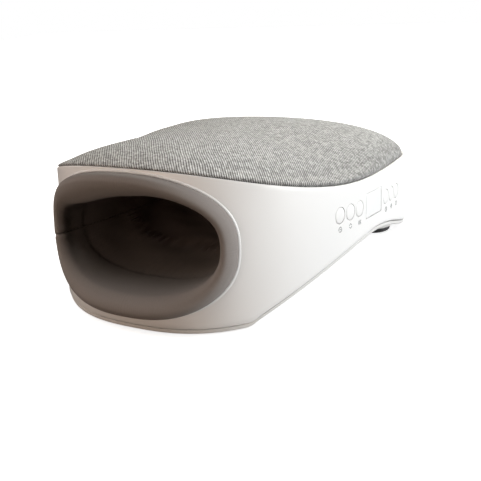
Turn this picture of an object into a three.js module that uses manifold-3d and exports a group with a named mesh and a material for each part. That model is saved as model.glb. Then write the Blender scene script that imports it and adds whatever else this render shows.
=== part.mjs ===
// Hand massager: an egg-shaped moulded case with a padded fabric top, a stuffed cuff round the
// hand opening, an air-bag sleeve inside, and a row of buttons and a display on its right side.
// Millimetres. In the finished part +X is right, +Y is the rear, +Z is up from the table.
// Case pieces are drawn in the case frame, whose walls stand upright; the case leans back on the
// table by RAKE. Base hardware is drawn in the table frame. Both have Y = 0 at the widest line.
import * as THREE from "three";
import { mergeVertices } from "three/addons/utils/BufferGeometryUtils.js";
import Module from "manifold-3d";

const wasm = await Module();
wasm.setup();

// Driving dimensions: case
const HALF_WIDTH = 89.6;
const FRONT_LENGTH = 165;
const REAR_LENGTH = 59.5;
const FRONT_SQUARENESS = 2.57;
const REAR_SQUARENESS = 2.03;
const RAKE = THREE.MathUtils.degToRad(6.1);
const TABLE_Z = 15.03;
const WALL = 2.4;
const GAP = 0.3;
const RIM_FRONT = 78.9;
const RIM_WAIST = 60.2;
const RIM_REAR = 63.7;
const WAIST_Y = -55;
const RIM_FRONT_POWER = 2.2;
const RIM_REAR_POWER = 1.4;
const LEAN_FRONT = 0.012;
const LEAN_REAR = -0.036;

// Driving dimensions: underside
const SOLE = 1;
const SEAM = 0.6;
const BASE_WALL = 2.2;
const BASE_SETBACK = 0.6;
const BASE_CHAMFER = 0.9;
const BASE_SEAT = 2;
const ARCH_RISE = 17.8;
const ARCH_Y = WAIST_Y - 6.3;
const ARCH_HALF = 82;
const ARCH_FRONT_POWER = 0.78;
const ARCH_REAR_POWER = 1.9;
const SCALLOP_START = HALF_WIDTH - 44.6;
const SCALLOP_POWER = 1.2;

// Driving dimensions: padded top
const CROWN = 24.2;
const CROWN_Y = WAIST_Y + 5;
const CROWN_POWER = 0.64;
const FABRIC = 1;
const FOAM = 2.2;
const LAYER_GAP = 0.5;
const PANEL = 1.6;
const EDGE_DROP = 0.2;
const LEDGE_WIDTH = 3.6;
const LEDGE_DEPTH = 1.6;
const FOAM_SHARE = 0.974;
const PANEL_SHARE = 0.983;
const FLANGE_SHARE = 0.965;

// Driving dimensions: cuff and hand sleeve
const MOUTH_HALF_WIDTH = HALF_WIDTH - 37.9;
const MOUTH_HALF_HEIGHT = 34.8;
const MOUTH_Z = 42.9;
const MOUTH_SQUARENESS = 2.47;
const CUFF_PROUD = 7.6;
const CUFF_WALL = 2.7;
const CUFF_ROLL = 7.7;
const BEAD_PROUD = 1;
const BEAD_INNER = 0.4;
const BEAD_OUTER = 1.1;
const THROAT_HALF_WIDTH = MOUTH_HALF_WIDTH - CUFF_ROLL;
const THROAT_HALF_HEIGHT = MOUTH_HALF_HEIGHT - 10.8;
const THROAT_Y = -FRONT_LENGTH + 23;
const SLEEVE_END_Y = WAIST_Y + 9;
const SLEEVE_CLOSE = 5;
const SLEEVE_END_HALF_WIDTH = THROAT_HALF_WIDTH - 6;
const SLEEVE_END_HALF_HEIGHT = THROAT_HALF_HEIGHT - 7;
const SLEEVE_END_Z = 47;
const SLEEVE_WALL = 1;
const FILM = 0.5;
const NODE_SHEET = 1;
const NODE_HEIGHT = 1.1;
const NODE_RADIUS = 3;
const BAG_DEPTH = 7.4;
const UPPER_BAG_SPAN = [22, 158];
const LOWER_BAG_SPAN = [206, 334];
const FILM_SPAN = [38, 142];
const SHEET_SPAN = [214, 326];
const NODE_ANGLES = [238, 270, 302];
const NODE_ROWS = 3;
const BAG_FRONT_INSET = 8;
const BAG_REAR_INSET = 2;
const FRAME_SETBACK = 4;
const FRAME_RIB_SHARES = [11 / 48, 19 / 24];
const FRAME_WALL = 2;
const FRAME_RIB = 1;

// Driving dimensions: controls on the right wall
const BUTTON_HOLE = 9;
const BUTTON_PITCH = 9.8;
const BUTTON_TRAVEL = 0.8;
const BUTTON_REST_GAP = 0.1;
const BUTTON_FLANGE_HEIGHT = 11.6;
const BUTTON_FLANGE_WIDTH = 9.2;
const BUTTON_FLANGE = 1;
const BUTTON_STEM = 3.6;
const ROW_SLOPE = -0.03;
const ROW_Z = 45.2;
const DISPLAY_Y = WAIST_Y + 0.8;
const DISPLAY_LENGTH = 22.4;
const DISPLAY_HEIGHT = 14;
const DISPLAY_GROUP_OFFSET = 28.4;
const BOARD_LENGTH = 96;
const BOARD_HEIGHT = 19;
const BOARD = 1.6;
const BOARD_SETBACK = 6.2;
const SWITCH_SIZE = 6;
const SWITCH_HEIGHT = 2.4;
const BUTTON_STEM_REACH = 16;
const MODULE_LENGTH = 22;
const MODULE_HEIGHT = 13.6;

// Driving dimensions: base hardware, in the table frame
const SCREW_HEAD_R = 2.9;
const SCREW_SHANK_R = 1.4;
const SCREW_HEAD = 1.8;
const SCREW_LENGTH = 10;
const BOSS_R = 4.4;
const BOSS_HEIGHT = 14;
const BOSS_INSET = 8;
const BOSS_RIB = 1.6;
const WELL_WALL = 1.6;
const WELL_RISE = 3.2;
const SCREW_STATIONS = [-FRONT_LENGTH + 47, REAR_LENGTH - 17.5];
const FRONT_FOOT = { x: 33, y: -FRONT_LENGTH + 31.15, r: 8, proud: 1, recess: 1.2 };
const REAR_FOOT = { x: HALF_WIDTH - 17.6, y: 0.65, r: 10.5, proud: 3.4, recess: 1.2 };
const FOOT_BOSS_WALL = 1.5;
const PUMP_Y = -12.85;
const PUMP_Z = 19.4;
const PUMP_END_X = 5;
const PUMP_HEAD_X = 37.6 - HALF_WIDTH;
const PUMP_JOIN_X = PUMP_HEAD_X + 23;
const PUMP_HEAD_R = 13.5;
const PUMP_MOTOR_R = 12.2;
const PUMP_BEARING_R = 4;
const PUMP_HOLLOW_R = 10;
const PUMP_WALL = 3;
const ROTOR = { shaftR: 1.2, bore: 0.4, discR: 4.5, offset: 1.5, length: 6, reach: 3.6 };
const PORT_R = 1.6;
const PORT_LENGTH = 6;
const BAG_PORT_LENGTH = 11;
const CRADLE_RIB = 3;
const CRADLE_INSET = 8;
const CRADLE_HALF = 12;
const VENT = { x: 26, y: -42.85, pitch: 10, width: 3, length: 18 };
const FRAME_POST = { x: 22, insets: [44.15, 92.15], top: 40 };
const CELL_R = 9.2;
const CELL_LENGTH = 2 * (HALF_WIDTH - 57.1);
const CELL_PITCH = 19.4;
const CELL_Y = 14.15;
const TRAY_FLOOR = 1.8;
const TRAY_WALL = 2;
const MAIN_BOARD = {
  halfWidth: HALF_WIDTH - 44.6,
  y0: 6.15,
  y1: REAR_LENGTH - 12.35,
  tongue: 12,
  tongueEnd: REAR_LENGTH - 4.35,
  z: 27,
};
const CHIP_LIFT = { processor: 1.6, driver: 1.2, capacitor: 8, connector: 4 };
const CAPACITOR_R = 4;
const BOARD_POST_R = 3;
const BOARD_POST_INSET = 5;
const MANIFOLD = { x0: 14.5, x1: 48.5, y0: PUMP_Y - 9, y1: PUMP_Y + 5, height: 10, inletX: 18, lift: 0.5 };
const VALVE = { side: 13, height: 16, bore: 5, depth: 10, plunger: 4.4, proud: 2.2, travel: 1.2 };
const VALVE_XS = [25.5, 41.5];
const HOSE_R = 2.6;
const HOSE_BORE = 2;
const HOSE_LAP = 4.5;
const HOSE_SIDES = 7;
const HOSE_BEND = 4;
const HOSE_FALL_Y = 14;
const HOSE_TURN_X = 10;
const HOSE_LOW_Z = 7.5;
const HOSE_LOW_Y = PUMP_Y - 22;
const SOCKET = { width: 8.9, height: 3.4, wall: 0.4, depth: 7.4, clearance: 0.4 };

const TURN_WEIGHT = 40;
const STATIONS = 48;
const INNER_STATIONS = 36;
const MOUTH_STATIONS = 40;
const FINE_RINGS = [0.97, 0.91, 0.82, 0.68, 0.5, 0.25];
const COARSE_RINGS = [0.91, 0.68, 0.35];
const PLATE_STEP = 8;
const SOLE_RINGS = [0.88, 0.72, 0.56];

// Materials
const finish = (color, roughness, metalness) =>
  new THREE.MeshStandardMaterial({ color, roughness, metalness });
const plastic = (color, roughness = 0.45) => finish(color, roughness, 0);
const metal = (color, roughness = 0.35) => finish(color, roughness, 0.9);
const WHITE = plastic(0xf1f0ef, 0.42);
const LIGHT_GREY = plastic(0xc9c8c4, 0.55);
const FABRIC_GREY = plastic(0xa9a7a3, 0.95);
const KNIT_TAUPE = plastic(0x8d8682, 0.9);
const SLEEVE_BROWN = plastic(0x4a413e, 0.95);
const FOAM_CREAM = plastic(0xd8d2c4, 0.95);
const FRAME_GREY = plastic(0xb4b6b8, 0.6);
const BAG_BLUE = plastic(0x9fb0bd, 0.5);
const BOARD_GREEN = plastic(0x2f6b46, 0.5);
const RUBBER = plastic(0x2c2c2e, 0.85);
const WINDOW = plastic(0xe6e8ea, 0.15);
const COPPER = metal(0xb87333, 0.4);
const STEEL = metal(0xb9bcc0, 0.3);
const CELL_WRAP = plastic(0x3e7fa8, 0.4);
const HOSE_CLEAR = plastic(0xd9dcdc, 0.35);

// Solids and booleans
function toSolid(geometry) {
  const bare = geometry.index ? geometry.toNonIndexed() : geometry;
  const positions = new THREE.BufferGeometry();
  positions.setAttribute("position", bare.getAttribute("position"));
  const merged = mergeVertices(positions, 1e-4);
  return new wasm.Manifold(new wasm.Mesh({
    numProp: 3,
    vertProperties: merged.attributes.position.array,
    triVerts: new Uint32Array(merged.index.array),
  }));
}

function toGeometry(solid) {
  const mesh = solid.getMesh();
  const geometry = new THREE.BufferGeometry();
  geometry.setAttribute("position", new THREE.BufferAttribute(mesh.vertProperties, 3));
  geometry.setIndex(new THREE.BufferAttribute(mesh.triVerts, 1));
  return geometry;
}

function joined(geometries) {
  return toGeometry(geometries.map(toSolid).reduce((sum, next) => sum.add(next)));
}

function cut(geometry, tools) {
  return toGeometry(tools.map(toSolid).reduce((left, tool) => left.subtract(tool), toSolid(geometry)));
}

function common(geometry, tool) {
  return toGeometry(toSolid(geometry).intersect(toSolid(tool)));
}

function signedVolume(points, index) {
  let sum = 0;
  for (let i = 0; i < index.length; i += 3) {
    const [a, b, c] = [points[index[i]], points[index[i + 1]], points[index[i + 2]]];
    sum += a.dot(b.clone().cross(c));
  }
  return sum / 6;
}

function closedMesh(points, index) {
  if (signedVolume(points, index) < 0) index.reverse();
  const geometry = new THREE.BufferGeometry().setFromPoints(points);
  geometry.setIndex(index);
  return geometry;
}

// A skin through closed rings of equal count: capped at both ends, or wrapped round to the first
function loft(rings, wrap = false) {
  const count = rings[0].length;
  const points = rings.flat();
  const index = [];
  const spans = wrap ? rings.length : rings.length - 1;
  for (let i = 0; i < spans; i += 1) {
    const a = i * count;
    const b = ((i + 1) % rings.length) * count;
    for (let j = 0; j < count; j += 1) {
      const k = (j + 1) % count;
      index.push(a + j, a + k, b + k, a + j, b + k, b + j);
    }
  }
  if (!wrap) {
    const last = (rings.length - 1) * count;
    const middle = (ring) => ring.reduce((sum, p) => sum.add(p), new THREE.Vector3()).divideScalar(count);
    points.push(middle(rings[0]), middle(rings[rings.length - 1]));
    for (let j = 0; j < count; j += 1) {
      const k = (j + 1) % count;
      index.push(k, j, points.length - 2);
      index.push(last + j, last + k, points.length - 1);
    }
  }
  return closedMesh(points, index);
}

// A curved plate between two grids of points with the same rows and columns
function thickSheet(outer, inner) {
  const rows = outer.length;
  const columns = outer[0].length;
  const points = [...outer.flat(), ...inner.flat()];
  const front = (i, j) => i * columns + j;
  const back = (i, j) => rows * columns + front(i, j);
  const index = [];
  const quad = (a, b, c, d) => index.push(a, b, c, a, c, d);
  for (let i = 0; i < rows - 1; i += 1) {
    for (let j = 0; j < columns - 1; j += 1) {
      quad(front(i, j), front(i + 1, j), front(i + 1, j + 1), front(i, j + 1));
      quad(back(i, j), back(i, j + 1), back(i + 1, j + 1), back(i + 1, j));
    }
    quad(front(i, 0), back(i, 0), back(i + 1, 0), front(i + 1, 0));
    const j = columns - 1;
    quad(front(i, j), front(i + 1, j), back(i + 1, j), back(i, j));
  }
  for (let j = 0; j < columns - 1; j += 1) {
    const i = rows - 1;
    quad(front(0, j), front(0, j + 1), back(0, j + 1), back(0, j));
    quad(front(i, j), back(i, j), back(i, j + 1), front(i, j + 1));
  }
  return closedMesh(points, index);
}

// Frames
const floorFromCase = new THREE.Matrix4()
  .makeRotationX(-RAKE)
  .multiply(new THREE.Matrix4().makeTranslation(0, 0, -TABLE_Z));
const caseFromFloor = floorFromCase.clone().invert();
const toFloor = (geometry) => geometry.applyMatrix4(floorFromCase);

// Height of the table in the case frame, and of a level above the table
const tableZ = (y) => TABLE_Z + y * Math.tan(RAKE);
const levelZ = (y, level) => tableZ(y) + level / Math.cos(RAKE);

// Plan outline: two half superellipses that meet at the widest line
function planPoint(angle) {
  const c = Math.cos(angle);
  const s = Math.sin(angle);
  const squareness = s < 0 ? FRONT_SQUARENESS : REAR_SQUARENESS;
  const length = s < 0 ? FRONT_LENGTH : REAR_LENGTH;
  const power = 2 / squareness;
  return new THREE.Vector2(
    HALF_WIDTH * Math.sign(c) * Math.abs(c) ** power,
    length * Math.sign(s) * Math.abs(s) ** power,
  );
}

function halfWidthAt(y) {
  const squareness = y < 0 ? FRONT_SQUARENESS : REAR_SQUARENESS;
  const share = Math.min(1, Math.abs(y) / (y < 0 ? FRONT_LENGTH : REAR_LENGTH));
  return HALF_WIDTH * (1 - share ** squareness) ** (1 / squareness);
}

// Points along the outline, closer together where it turns, each with its outward normal
function planStations(count) {
  const fine = Array.from({ length: 1441 }, (_, i) => planPoint((i / 720 - 0.5) * Math.PI));
  const along = [0];
  for (let i = 1; i < fine.length; i += 1) {
    const run = fine[i].clone().sub(fine[i - 1]);
    const before = fine[i - 1].clone().sub(fine[Math.max(0, i - 2)]);
    const turn = i > 1 ? Math.abs(Math.asin(before.normalize().cross(run.clone().normalize()))) : 0;
    along.push(along[i - 1] + run.length() + TURN_WEIGHT * turn);
  }
  const total = along[along.length - 1];
  const stations = [];
  let i = 0;
  for (let k = 0; k < count; k += 1) {
    const target = (total * (k + 0.5)) / count;
    while (along[i + 1] < target) i += 1;
    const share = (target - along[i]) / (along[i + 1] - along[i]);
    const point = fine[i].clone().lerp(fine[i + 1], share);
    const run = fine[i + 1].clone().sub(fine[i]).normalize();
    stations.push({ x: point.x, y: point.y, nx: run.y, ny: -run.x });
  }
  return stations;
}

const PLAN = planStations(STATIONS);
const INNER_PLAN = planStations(INNER_STATIONS);

function rimZ(y) {
  if (y < WAIST_Y) {
    const share = Math.min(1, (WAIST_Y - y) / (WAIST_Y + FRONT_LENGTH));
    return RIM_WAIST + (RIM_FRONT - RIM_WAIST) * share ** RIM_FRONT_POWER;
  }
  const share = Math.min(1, (y - WAIST_Y) / (REAR_LENGTH - WAIST_Y));
  return RIM_WAIST + (RIM_REAR - RIM_WAIST) * share ** RIM_REAR_POWER;
}

function archRise(y) {
  const share = (y - ARCH_Y) / ARCH_HALF;
  const power = share < 0 ? ARCH_FRONT_POWER : ARCH_REAR_POWER;
  return ARCH_RISE * Math.max(0, 1 - share * share) ** power;
}

// The wall's slant: how far in its outer face stands, per millimetre below the rim
function lean(y) {
  const share = THREE.MathUtils.clamp(-y / FRONT_LENGTH, 0, 1);
  return LEAN_FRONT * share + LEAN_REAR * (1 - share);
}

const lowerEdgeZ = (y) => levelZ(y, SOLE + BASE_WALL + SEAM) + archRise(y);

// A ring round the wall: inset from its outer face, at the height that heightAt gives
function wallRing(inset, heightAt, stations = PLAN) {
  return stations.map((s) => {
    const first = heightAt(s.y);
    const depth = inset + lean(s.y) * (rimZ(s.y) - first);
    const y = s.y - s.ny * depth;
    return new THREE.Vector3(s.x - s.nx * depth, y, heightAt(y));
  });
}

// The outer face of the wall at the front, where the cuff lies on it
function frontFaceY(x, z) {
  const share = Math.min(1, Math.abs(x) / HALF_WIDTH);
  const y = -FRONT_LENGTH * (1 - share ** FRONT_SQUARENESS) ** (1 / FRONT_SQUARENESS);
  return y + lean(y) * (rimZ(y) - z);
}

// A point on the right wall's outer face and the frame there: along, up and outward
function wallFrame(y, z) {
  const step = 0.5;
  const at = (v) => new THREE.Vector3(halfWidthAt(v) - lean(v) * (rimZ(v) - z), v, z);
  const along = at(y + step).sub(at(y - step)).normalize();
  const up = new THREE.Vector3(0, 0, 1);
  const out = along.clone().cross(up).normalize();
  return new THREE.Matrix4().makeBasis(along, up, out).setPosition(at(y));
}

// Rounded and plain prisms
function stadium(length, height) {
  const r = height / 2;
  const shape = new THREE.Shape();
  shape.moveTo(-length / 2 + r, -r);
  shape.lineTo(length / 2 - r, -r);
  shape.absarc(length / 2 - r, 0, r, -Math.PI / 2, Math.PI / 2, false);
  shape.lineTo(-length / 2 + r, r);
  shape.absarc(-length / 2 + r, 0, r, Math.PI / 2, (3 * Math.PI) / 2, false);
  return shape;
}

function roundedRectangle(width, height, r) {
  const shape = new THREE.Shape();
  const [x, y] = [width / 2, height / 2];
  shape.moveTo(-x + r, -y);
  shape.lineTo(x - r, -y);
  shape.absarc(x - r, -y + r, r, -Math.PI / 2, 0, false);
  shape.lineTo(x, y - r);
  shape.absarc(x - r, y - r, r, 0, Math.PI / 2, false);
  shape.lineTo(-x + r, y);
  shape.absarc(-x + r, y - r, r, Math.PI / 2, Math.PI, false);
  shape.lineTo(-x, -y + r);
  shape.absarc(-x + r, -y + r, r, Math.PI, (3 * Math.PI) / 2, false);
  return shape;
}

function prism(shape, from, to, curveSegments = 4) {
  return new THREE.ExtrudeGeometry(shape, { depth: to - from, bevelEnabled: false, curveSegments })
    .translate(0, 0, from);
}

function upright(x, y, r, z0, z1, sides = 20) {
  return new THREE.CylinderGeometry(r, r, z1 - z0, sides).rotateX(Math.PI / 2).translate(x, y, (z0 + z1) / 2);
}

function sideways(y, z, r, x0, x1, sides = 24) {
  return new THREE.CylinderGeometry(r, r, x1 - x0, sides).rotateZ(Math.PI / 2).translate((x0 + x1) / 2, y, z);
}

function block(x0, x1, y0, y1, z0, z1) {
  return new THREE.BoxGeometry(x1 - x0, y1 - y0, z1 - z0)
    .translate((x0 + x1) / 2, (y0 + y1) / 2, (z0 + z1) / 2);
}

const group = new THREE.Group();
const floor = new THREE.Group();
group.add(floor);

function addPart(name, geometry, material) {
  const mesh = new THREE.Mesh(geometry, material);
  mesh.name = name;
  floor.add(mesh);
  return mesh;
}

// Hand sleeve: cross sections are superellipses that narrow towards the fingertips
function sleeveSection(y) {
  const share = THREE.MathUtils.clamp((y - THROAT_Y) / (SLEEVE_END_Y - THROAT_Y), 0, 1);
  return {
    halfWidth: THREE.MathUtils.lerp(THROAT_HALF_WIDTH, SLEEVE_END_HALF_WIDTH, share),
    halfHeight: THREE.MathUtils.lerp(THROAT_HALF_HEIGHT, SLEEVE_END_HALF_HEIGHT, share),
    z: THREE.MathUtils.lerp(MOUTH_Z, SLEEVE_END_Z, share),
  };
}

function ovalPoint(halfWidth, halfHeight, angle) {
  const c = Math.cos(angle);
  const s = Math.sin(angle);
  const power = 2 / MOUTH_SQUARENESS;
  return new THREE.Vector2(
    halfWidth * Math.sign(c) * Math.abs(c) ** power,
    halfHeight * Math.sign(s) * Math.abs(s) ** power,
  );
}

const ringAngles = (count) => Array.from({ length: count }, (_, i) => ((i + 0.5) / count) * 2 * Math.PI);

function sleeveRing(y, grow, squeeze = 1, count = 28) {
  const section = sleeveSection(y);
  return ringAngles(count).map((angle) => {
    const p = ovalPoint((section.halfWidth + grow) * squeeze, (section.halfHeight + grow) * squeeze, angle);
    return new THREE.Vector3(p.x, y, section.z + p.y);
  });
}

// A curved plate round the sleeve, from angle a0 to a1 in degrees and from grow g0 out to g1
function sleevePlate(ys, a0, a1, g0, g1) {
  const columns = Math.round((a1 - a0) / PLATE_STEP) + 1;
  const grid = (grow) => ys.map((y) => {
    const section = sleeveSection(y);
    return Array.from({ length: columns }, (_, j) => {
      const angle = THREE.MathUtils.degToRad(a0 + ((a1 - a0) * j) / (columns - 1));
      const p = ovalPoint(section.halfWidth + grow, section.halfHeight + grow, angle);
      return new THREE.Vector3(p.x, y, section.z + p.y);
    });
  });
  return thickSheet(grid(g1), grid(g0));
}

const spread = (from, to, count) =>
  Array.from({ length: count }, (_, i) => from + ((to - from) * i) / (count - 1));

const FRAME_INNER = BAG_DEPTH + GAP;
const FRAME_OUTER = FRAME_INNER + FRAME_WALL;
const FRAME_FRONT_Y = THROAT_Y + FRAME_SETBACK;

function envelope(grow) {
  return loft([FRAME_FRONT_Y - 1, SLEEVE_END_Y + FRAME_SETBACK + 2].map((y) => sleeveRing(y, grow)));
}

// Case shell: one wall all round, with a ledge that carries the top
const PANEL_SEAT = EDGE_DROP + FABRIC + LAYER_GAP + FOAM + LAYER_GAP + PANEL;

function shellWall() {
  const ledge = (y) => rimZ(y) - PANEL_SEAT - GAP;
  return loft([
    wallRing(0, lowerEdgeZ),
    wallRing(0, rimZ),
    wallRing(WALL, rimZ),
    wallRing(WALL, ledge),
    wallRing(WALL + LEDGE_WIDTH, ledge),
    wallRing(WALL + LEDGE_WIDTH, (y) => ledge(y) - LEDGE_DEPTH),
    wallRing(WALL, (y) => ledge(y) - LEDGE_DEPTH),
    wallRing(WALL, lowerEdgeZ),
  ], true);
}

// Screw bosses stand just inside the wall: their places in the table frame and the way outward
function bossPlaces() {
  const step = 0.5;
  return SCREW_STATIONS.flatMap((y) => [-1, 1].map((side) => {
    const run = new THREE.Vector2(halfWidthAt(y + step) - halfWidthAt(y - step), 2 * step).normalize();
    const inset = BOSS_INSET + lean(y) * (rimZ(y) - lowerEdgeZ(y));
    const x = side * (halfWidthAt(y) - run.y * inset);
    const inY = y + run.x * inset;
    const at = new THREE.Vector3(x, inY, levelZ(inY, SOLE) + scallopRise(x, inY)).applyMatrix4(floorFromCase);
    return { at, turn: Math.atan2(-run.x, side * run.y) };
  }));
}

// Underside: flat in the middle, scooped up to the arch at both sides for the fingers
function scallopRise(x, y) {
  const edge = halfWidthAt(y) - WALL - BASE_SEAT;
  const share = (Math.abs(x) - SCALLOP_START) / Math.max(1, edge - SCALLOP_START);
  return archRise(y) * THREE.MathUtils.clamp(share, 0, 1) ** SCALLOP_POWER;
}

const soleEdge = (inset, level) => wallRing(inset, (y) => levelZ(y, level) + archRise(y));

function soleRing(share, level) {
  return soleEdge(WALL + BASE_SEAT, SOLE).map((p) => {
    const x = p.x * share;
    const y = ARCH_Y + (p.y - ARCH_Y) * share;
    return new THREE.Vector3(x, y, levelZ(y, level) + scallopRise(x, y));
  });
}

const SCREW_PLACES = bossPlaces();
const BASE_TOP = SOLE + BASE_WALL;

function buildBase() {
  const plate = toFloor(loft([
    ...[...SOLE_RINGS].reverse().map((share) => soleRing(share, SOLE)),
    soleEdge(WALL + BASE_SEAT, SOLE),
    soleEdge(BASE_SETBACK + BASE_CHAMFER, SOLE),
    soleEdge(BASE_SETBACK, SOLE + BASE_CHAMFER),
    soleEdge(BASE_SETBACK, BASE_TOP),
    soleEdge(WALL + BASE_SEAT, BASE_TOP),
    ...SOLE_RINGS.map((share) => soleRing(share, BASE_TOP)),
  ]));
  const wells = SCREW_PLACES.map(({ at }) =>
    upright(at.x, at.y, SCREW_HEAD_R + WELL_WALL, at.z + 0.5, at.z + BASE_WALL + WELL_RISE, 16));
  const feet = [];
  const recesses = [];
  for (const side of [-1, 1]) {
    const [f, r] = [FRONT_FOOT, REAR_FOOT];
    feet.push(upright(side * r.x, r.y, r.r + FOOT_BOSS_WALL, r.proud, r.proud + BASE_WALL + 4, 20));
    recesses.push(upright(side * f.x, f.y, f.r + GAP, 0, f.proud + f.recess + GAP, 20));
    recesses.push(upright(side * r.x, r.y, r.r + GAP, 0, r.proud + r.recess + GAP, 20));
  }
  const cradles = [PUMP_HEAD_X + CRADLE_INSET, PUMP_END_X - CRADLE_INSET].map((x) =>
    block(x, x + CRADLE_RIB, PUMP_Y - CRADLE_HALF, PUMP_Y + CRADLE_HALF, BASE_TOP - 1, PUMP_Z - CRADLE_RIB));
  const inset = BOARD_POST_INSET;
  const posts = [inset - MAIN_BOARD.halfWidth, MAIN_BOARD.halfWidth - inset].flatMap((x) =>
    [MAIN_BOARD.y0 + inset, MAIN_BOARD.y1 - inset].map((y) =>
      upright(x, y, BOARD_POST_R, BASE_TOP - 1, MAIN_BOARD.z - GAP, 12)));
  const framePosts = [-FRAME_POST.x, FRAME_POST.x].flatMap((x) => FRAME_POST.insets.map((y) =>
    upright(x, y - FRONT_LENGTH, BOARD_POST_R, BASE_TOP - 1, FRAME_POST.top, 12)));
  const heads = SCREW_PLACES.map(({ at }) =>
    upright(at.x, at.y, SCREW_HEAD_R + GAP, at.z - 8, at.z + SCREW_HEAD + GAP, 16));
  const shanks = SCREW_PLACES.map(({ at }) =>
    upright(at.x, at.y, SCREW_SHANK_R + GAP, at.z - 8, at.z + 8, 10));
  const slots = [-1, 1].flatMap((side) => spread(-VENT.pitch, VENT.pitch, 3).map((x) =>
    prism(stadium(VENT.length, VENT.width), -1, BASE_TOP + 1, 3)
      .rotateZ(Math.PI / 2).translate(side * VENT.x + x, VENT.y, 0)));
  const pumpClear = [
    sideways(PUMP_Y, PUMP_Z, PUMP_HEAD_R + GAP, PUMP_HEAD_X - 2, PUMP_JOIN_X),
    sideways(PUMP_Y, PUMP_Z, PUMP_MOTOR_R + GAP, PUMP_JOIN_X, PUMP_END_X + 2),
  ];
  const solid = joined([plate, ...wells, ...feet, ...cradles, ...posts, ...framePosts]);
  const sleeveClear = toFloor(envelope(FRAME_OUTER + FRAME_RIB + GAP));
  return cut(solid, [...recesses, ...heads, ...shanks, ...slots, ...pumpClear, sleeveClear]);
}

function mouthTool(grow) {
  const shape = new THREE.Shape(ringAngles(MOUTH_STATIONS).map((angle) =>
    ovalPoint(THROAT_HALF_WIDTH + CUFF_WALL + grow, THROAT_HALF_HEIGHT + CUFF_WALL + grow, angle)));
  return prism(shape, 0, FRONT_LENGTH).rotateX(Math.PI / 2).translate(0, SLEEVE_END_Y, MOUTH_Z);
}

// Controls
const BUTTON_YS = [-1, 1].flatMap((group_side) =>
  [-1, 0, 1].map((step) => DISPLAY_Y + group_side * DISPLAY_GROUP_OFFSET + step * BUTTON_PITCH));
const BUTTON_NAMES = [
  "mode_button", "pressure_button", "heat_button", "timer_button", "light_button", "power_button",
];
const rowZ = (y) => ROW_Z + ROW_SLOPE * (y - DISPLAY_Y);

// The control board lies on the chord of the wall behind the row of controls
function boardFrame() {
  const [y0, y1] = [DISPLAY_Y - BOARD_LENGTH / 2, DISPLAY_Y + BOARD_LENGTH / 2];
  const a = new THREE.Vector3(halfWidthAt(y0), y0, rowZ(y0));
  const b = new THREE.Vector3(halfWidthAt(y1), y1, rowZ(y1));
  const along = b.clone().sub(a).normalize();
  const out = along.clone().cross(new THREE.Vector3(0, 0, 1)).normalize();
  const up = out.clone().cross(along);
  const middle = a.add(b).multiplyScalar(0.5).addScaledVector(out, -(WALL + BOARD_SETBACK));
  return new THREE.Matrix4().makeBasis(along, up, out).setPosition(middle);
}

const BOARD_FRAME = boardFrame();
const boardFromCase = BOARD_FRAME.clone().invert();

function buildButtons(wall) {
  BUTTON_YS.forEach((y, i) => {
    const at = wallFrame(y, rowZ(y));
    const r = BUTTON_HOLE / 2 - GAP;
    const capTool = new THREE.CylinderGeometry(r, r, 3 * WALL, 18).rotateX(Math.PI / 2).applyMatrix4(at);
    const cap = common(wall, capTool);
    const back = -WALL - GAP - BUTTON_FLANGE;
    const flange = block(-BUTTON_FLANGE_WIDTH / 2, BUTTON_FLANGE_WIDTH / 2,
      -BUTTON_FLANGE_HEIGHT / 2, BUTTON_FLANGE_HEIGHT / 2, back, back + BUTTON_FLANGE).applyMatrix4(at);
    const neck = upright(0, 0, r - 1, back, -WALL / 2, 9).applyMatrix4(at);
    const stem = upright(0, 0, BUTTON_STEM / 2, -BUTTON_STEM_REACH, back + 0.2, 8).applyMatrix4(at);
    const reach = BOARD / 2 + SWITCH_HEIGHT + BUTTON_TRAVEL + BUTTON_REST_GAP;
    const behind = -2 * BUTTON_STEM_REACH;
    const far = BOARD_LENGTH;
    const stop = block(-far, far, -far, far, behind, reach).applyMatrix4(BOARD_FRAME);
    addPart(BUTTON_NAMES[i], toFloor(cut(joined([cap, neck, flange, stem]), [stop])), WHITE);
  });
}

function buildDisplay(wall) {
  const at = wallFrame(DISPLAY_Y, rowZ(DISPLAY_Y));
  const outline = roundedRectangle(DISPLAY_LENGTH - 2 * GAP, DISPLAY_HEIGHT - 2 * GAP, 0.8);
  const tool = prism(outline, -2 * WALL, 2 * WALL).applyMatrix4(at);
  addPart("display_window", toFloor(common(wall, tool)), WINDOW);
  const inner = new THREE.Vector3(0, 0, -WALL - GAP - 1).applyMatrix4(at).applyMatrix4(boardFromCase);
  const [halfX, halfY] = [MODULE_LENGTH / 2, MODULE_HEIGHT / 2];
  const [low, top] = [BOARD / 2 + GAP, inner.z - 0.8];
  const unit = block(inner.x - halfX, inner.x + halfX, inner.y - halfY, inner.y + halfY, low, top);
  addPart("display_module", toFloor(unit.applyMatrix4(BOARD_FRAME)), RUBBER);
}

function buildControlBoard() {
  const [halfX, halfY, halfZ] = [BOARD_LENGTH / 2, BOARD_HEIGHT / 2, BOARD / 2];
  const board = block(-halfX, halfX, -halfY, halfY, -halfZ, halfZ);
  const switches = BUTTON_YS.map((y) => {
    const p = new THREE.Vector3(0, 0, -WALL - BOARD_SETBACK)
      .applyMatrix4(wallFrame(y, rowZ(y)))
      .applyMatrix4(boardFromCase);
    const half = SWITCH_SIZE / 2;
    return block(p.x - half, p.x + half, p.y - half, p.y + half, 0, BOARD / 2 + SWITCH_HEIGHT);
  });
  addPart("control_board", toFloor(joined([board, ...switches]).applyMatrix4(BOARD_FRAME)), BOARD_GREEN);
}

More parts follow.
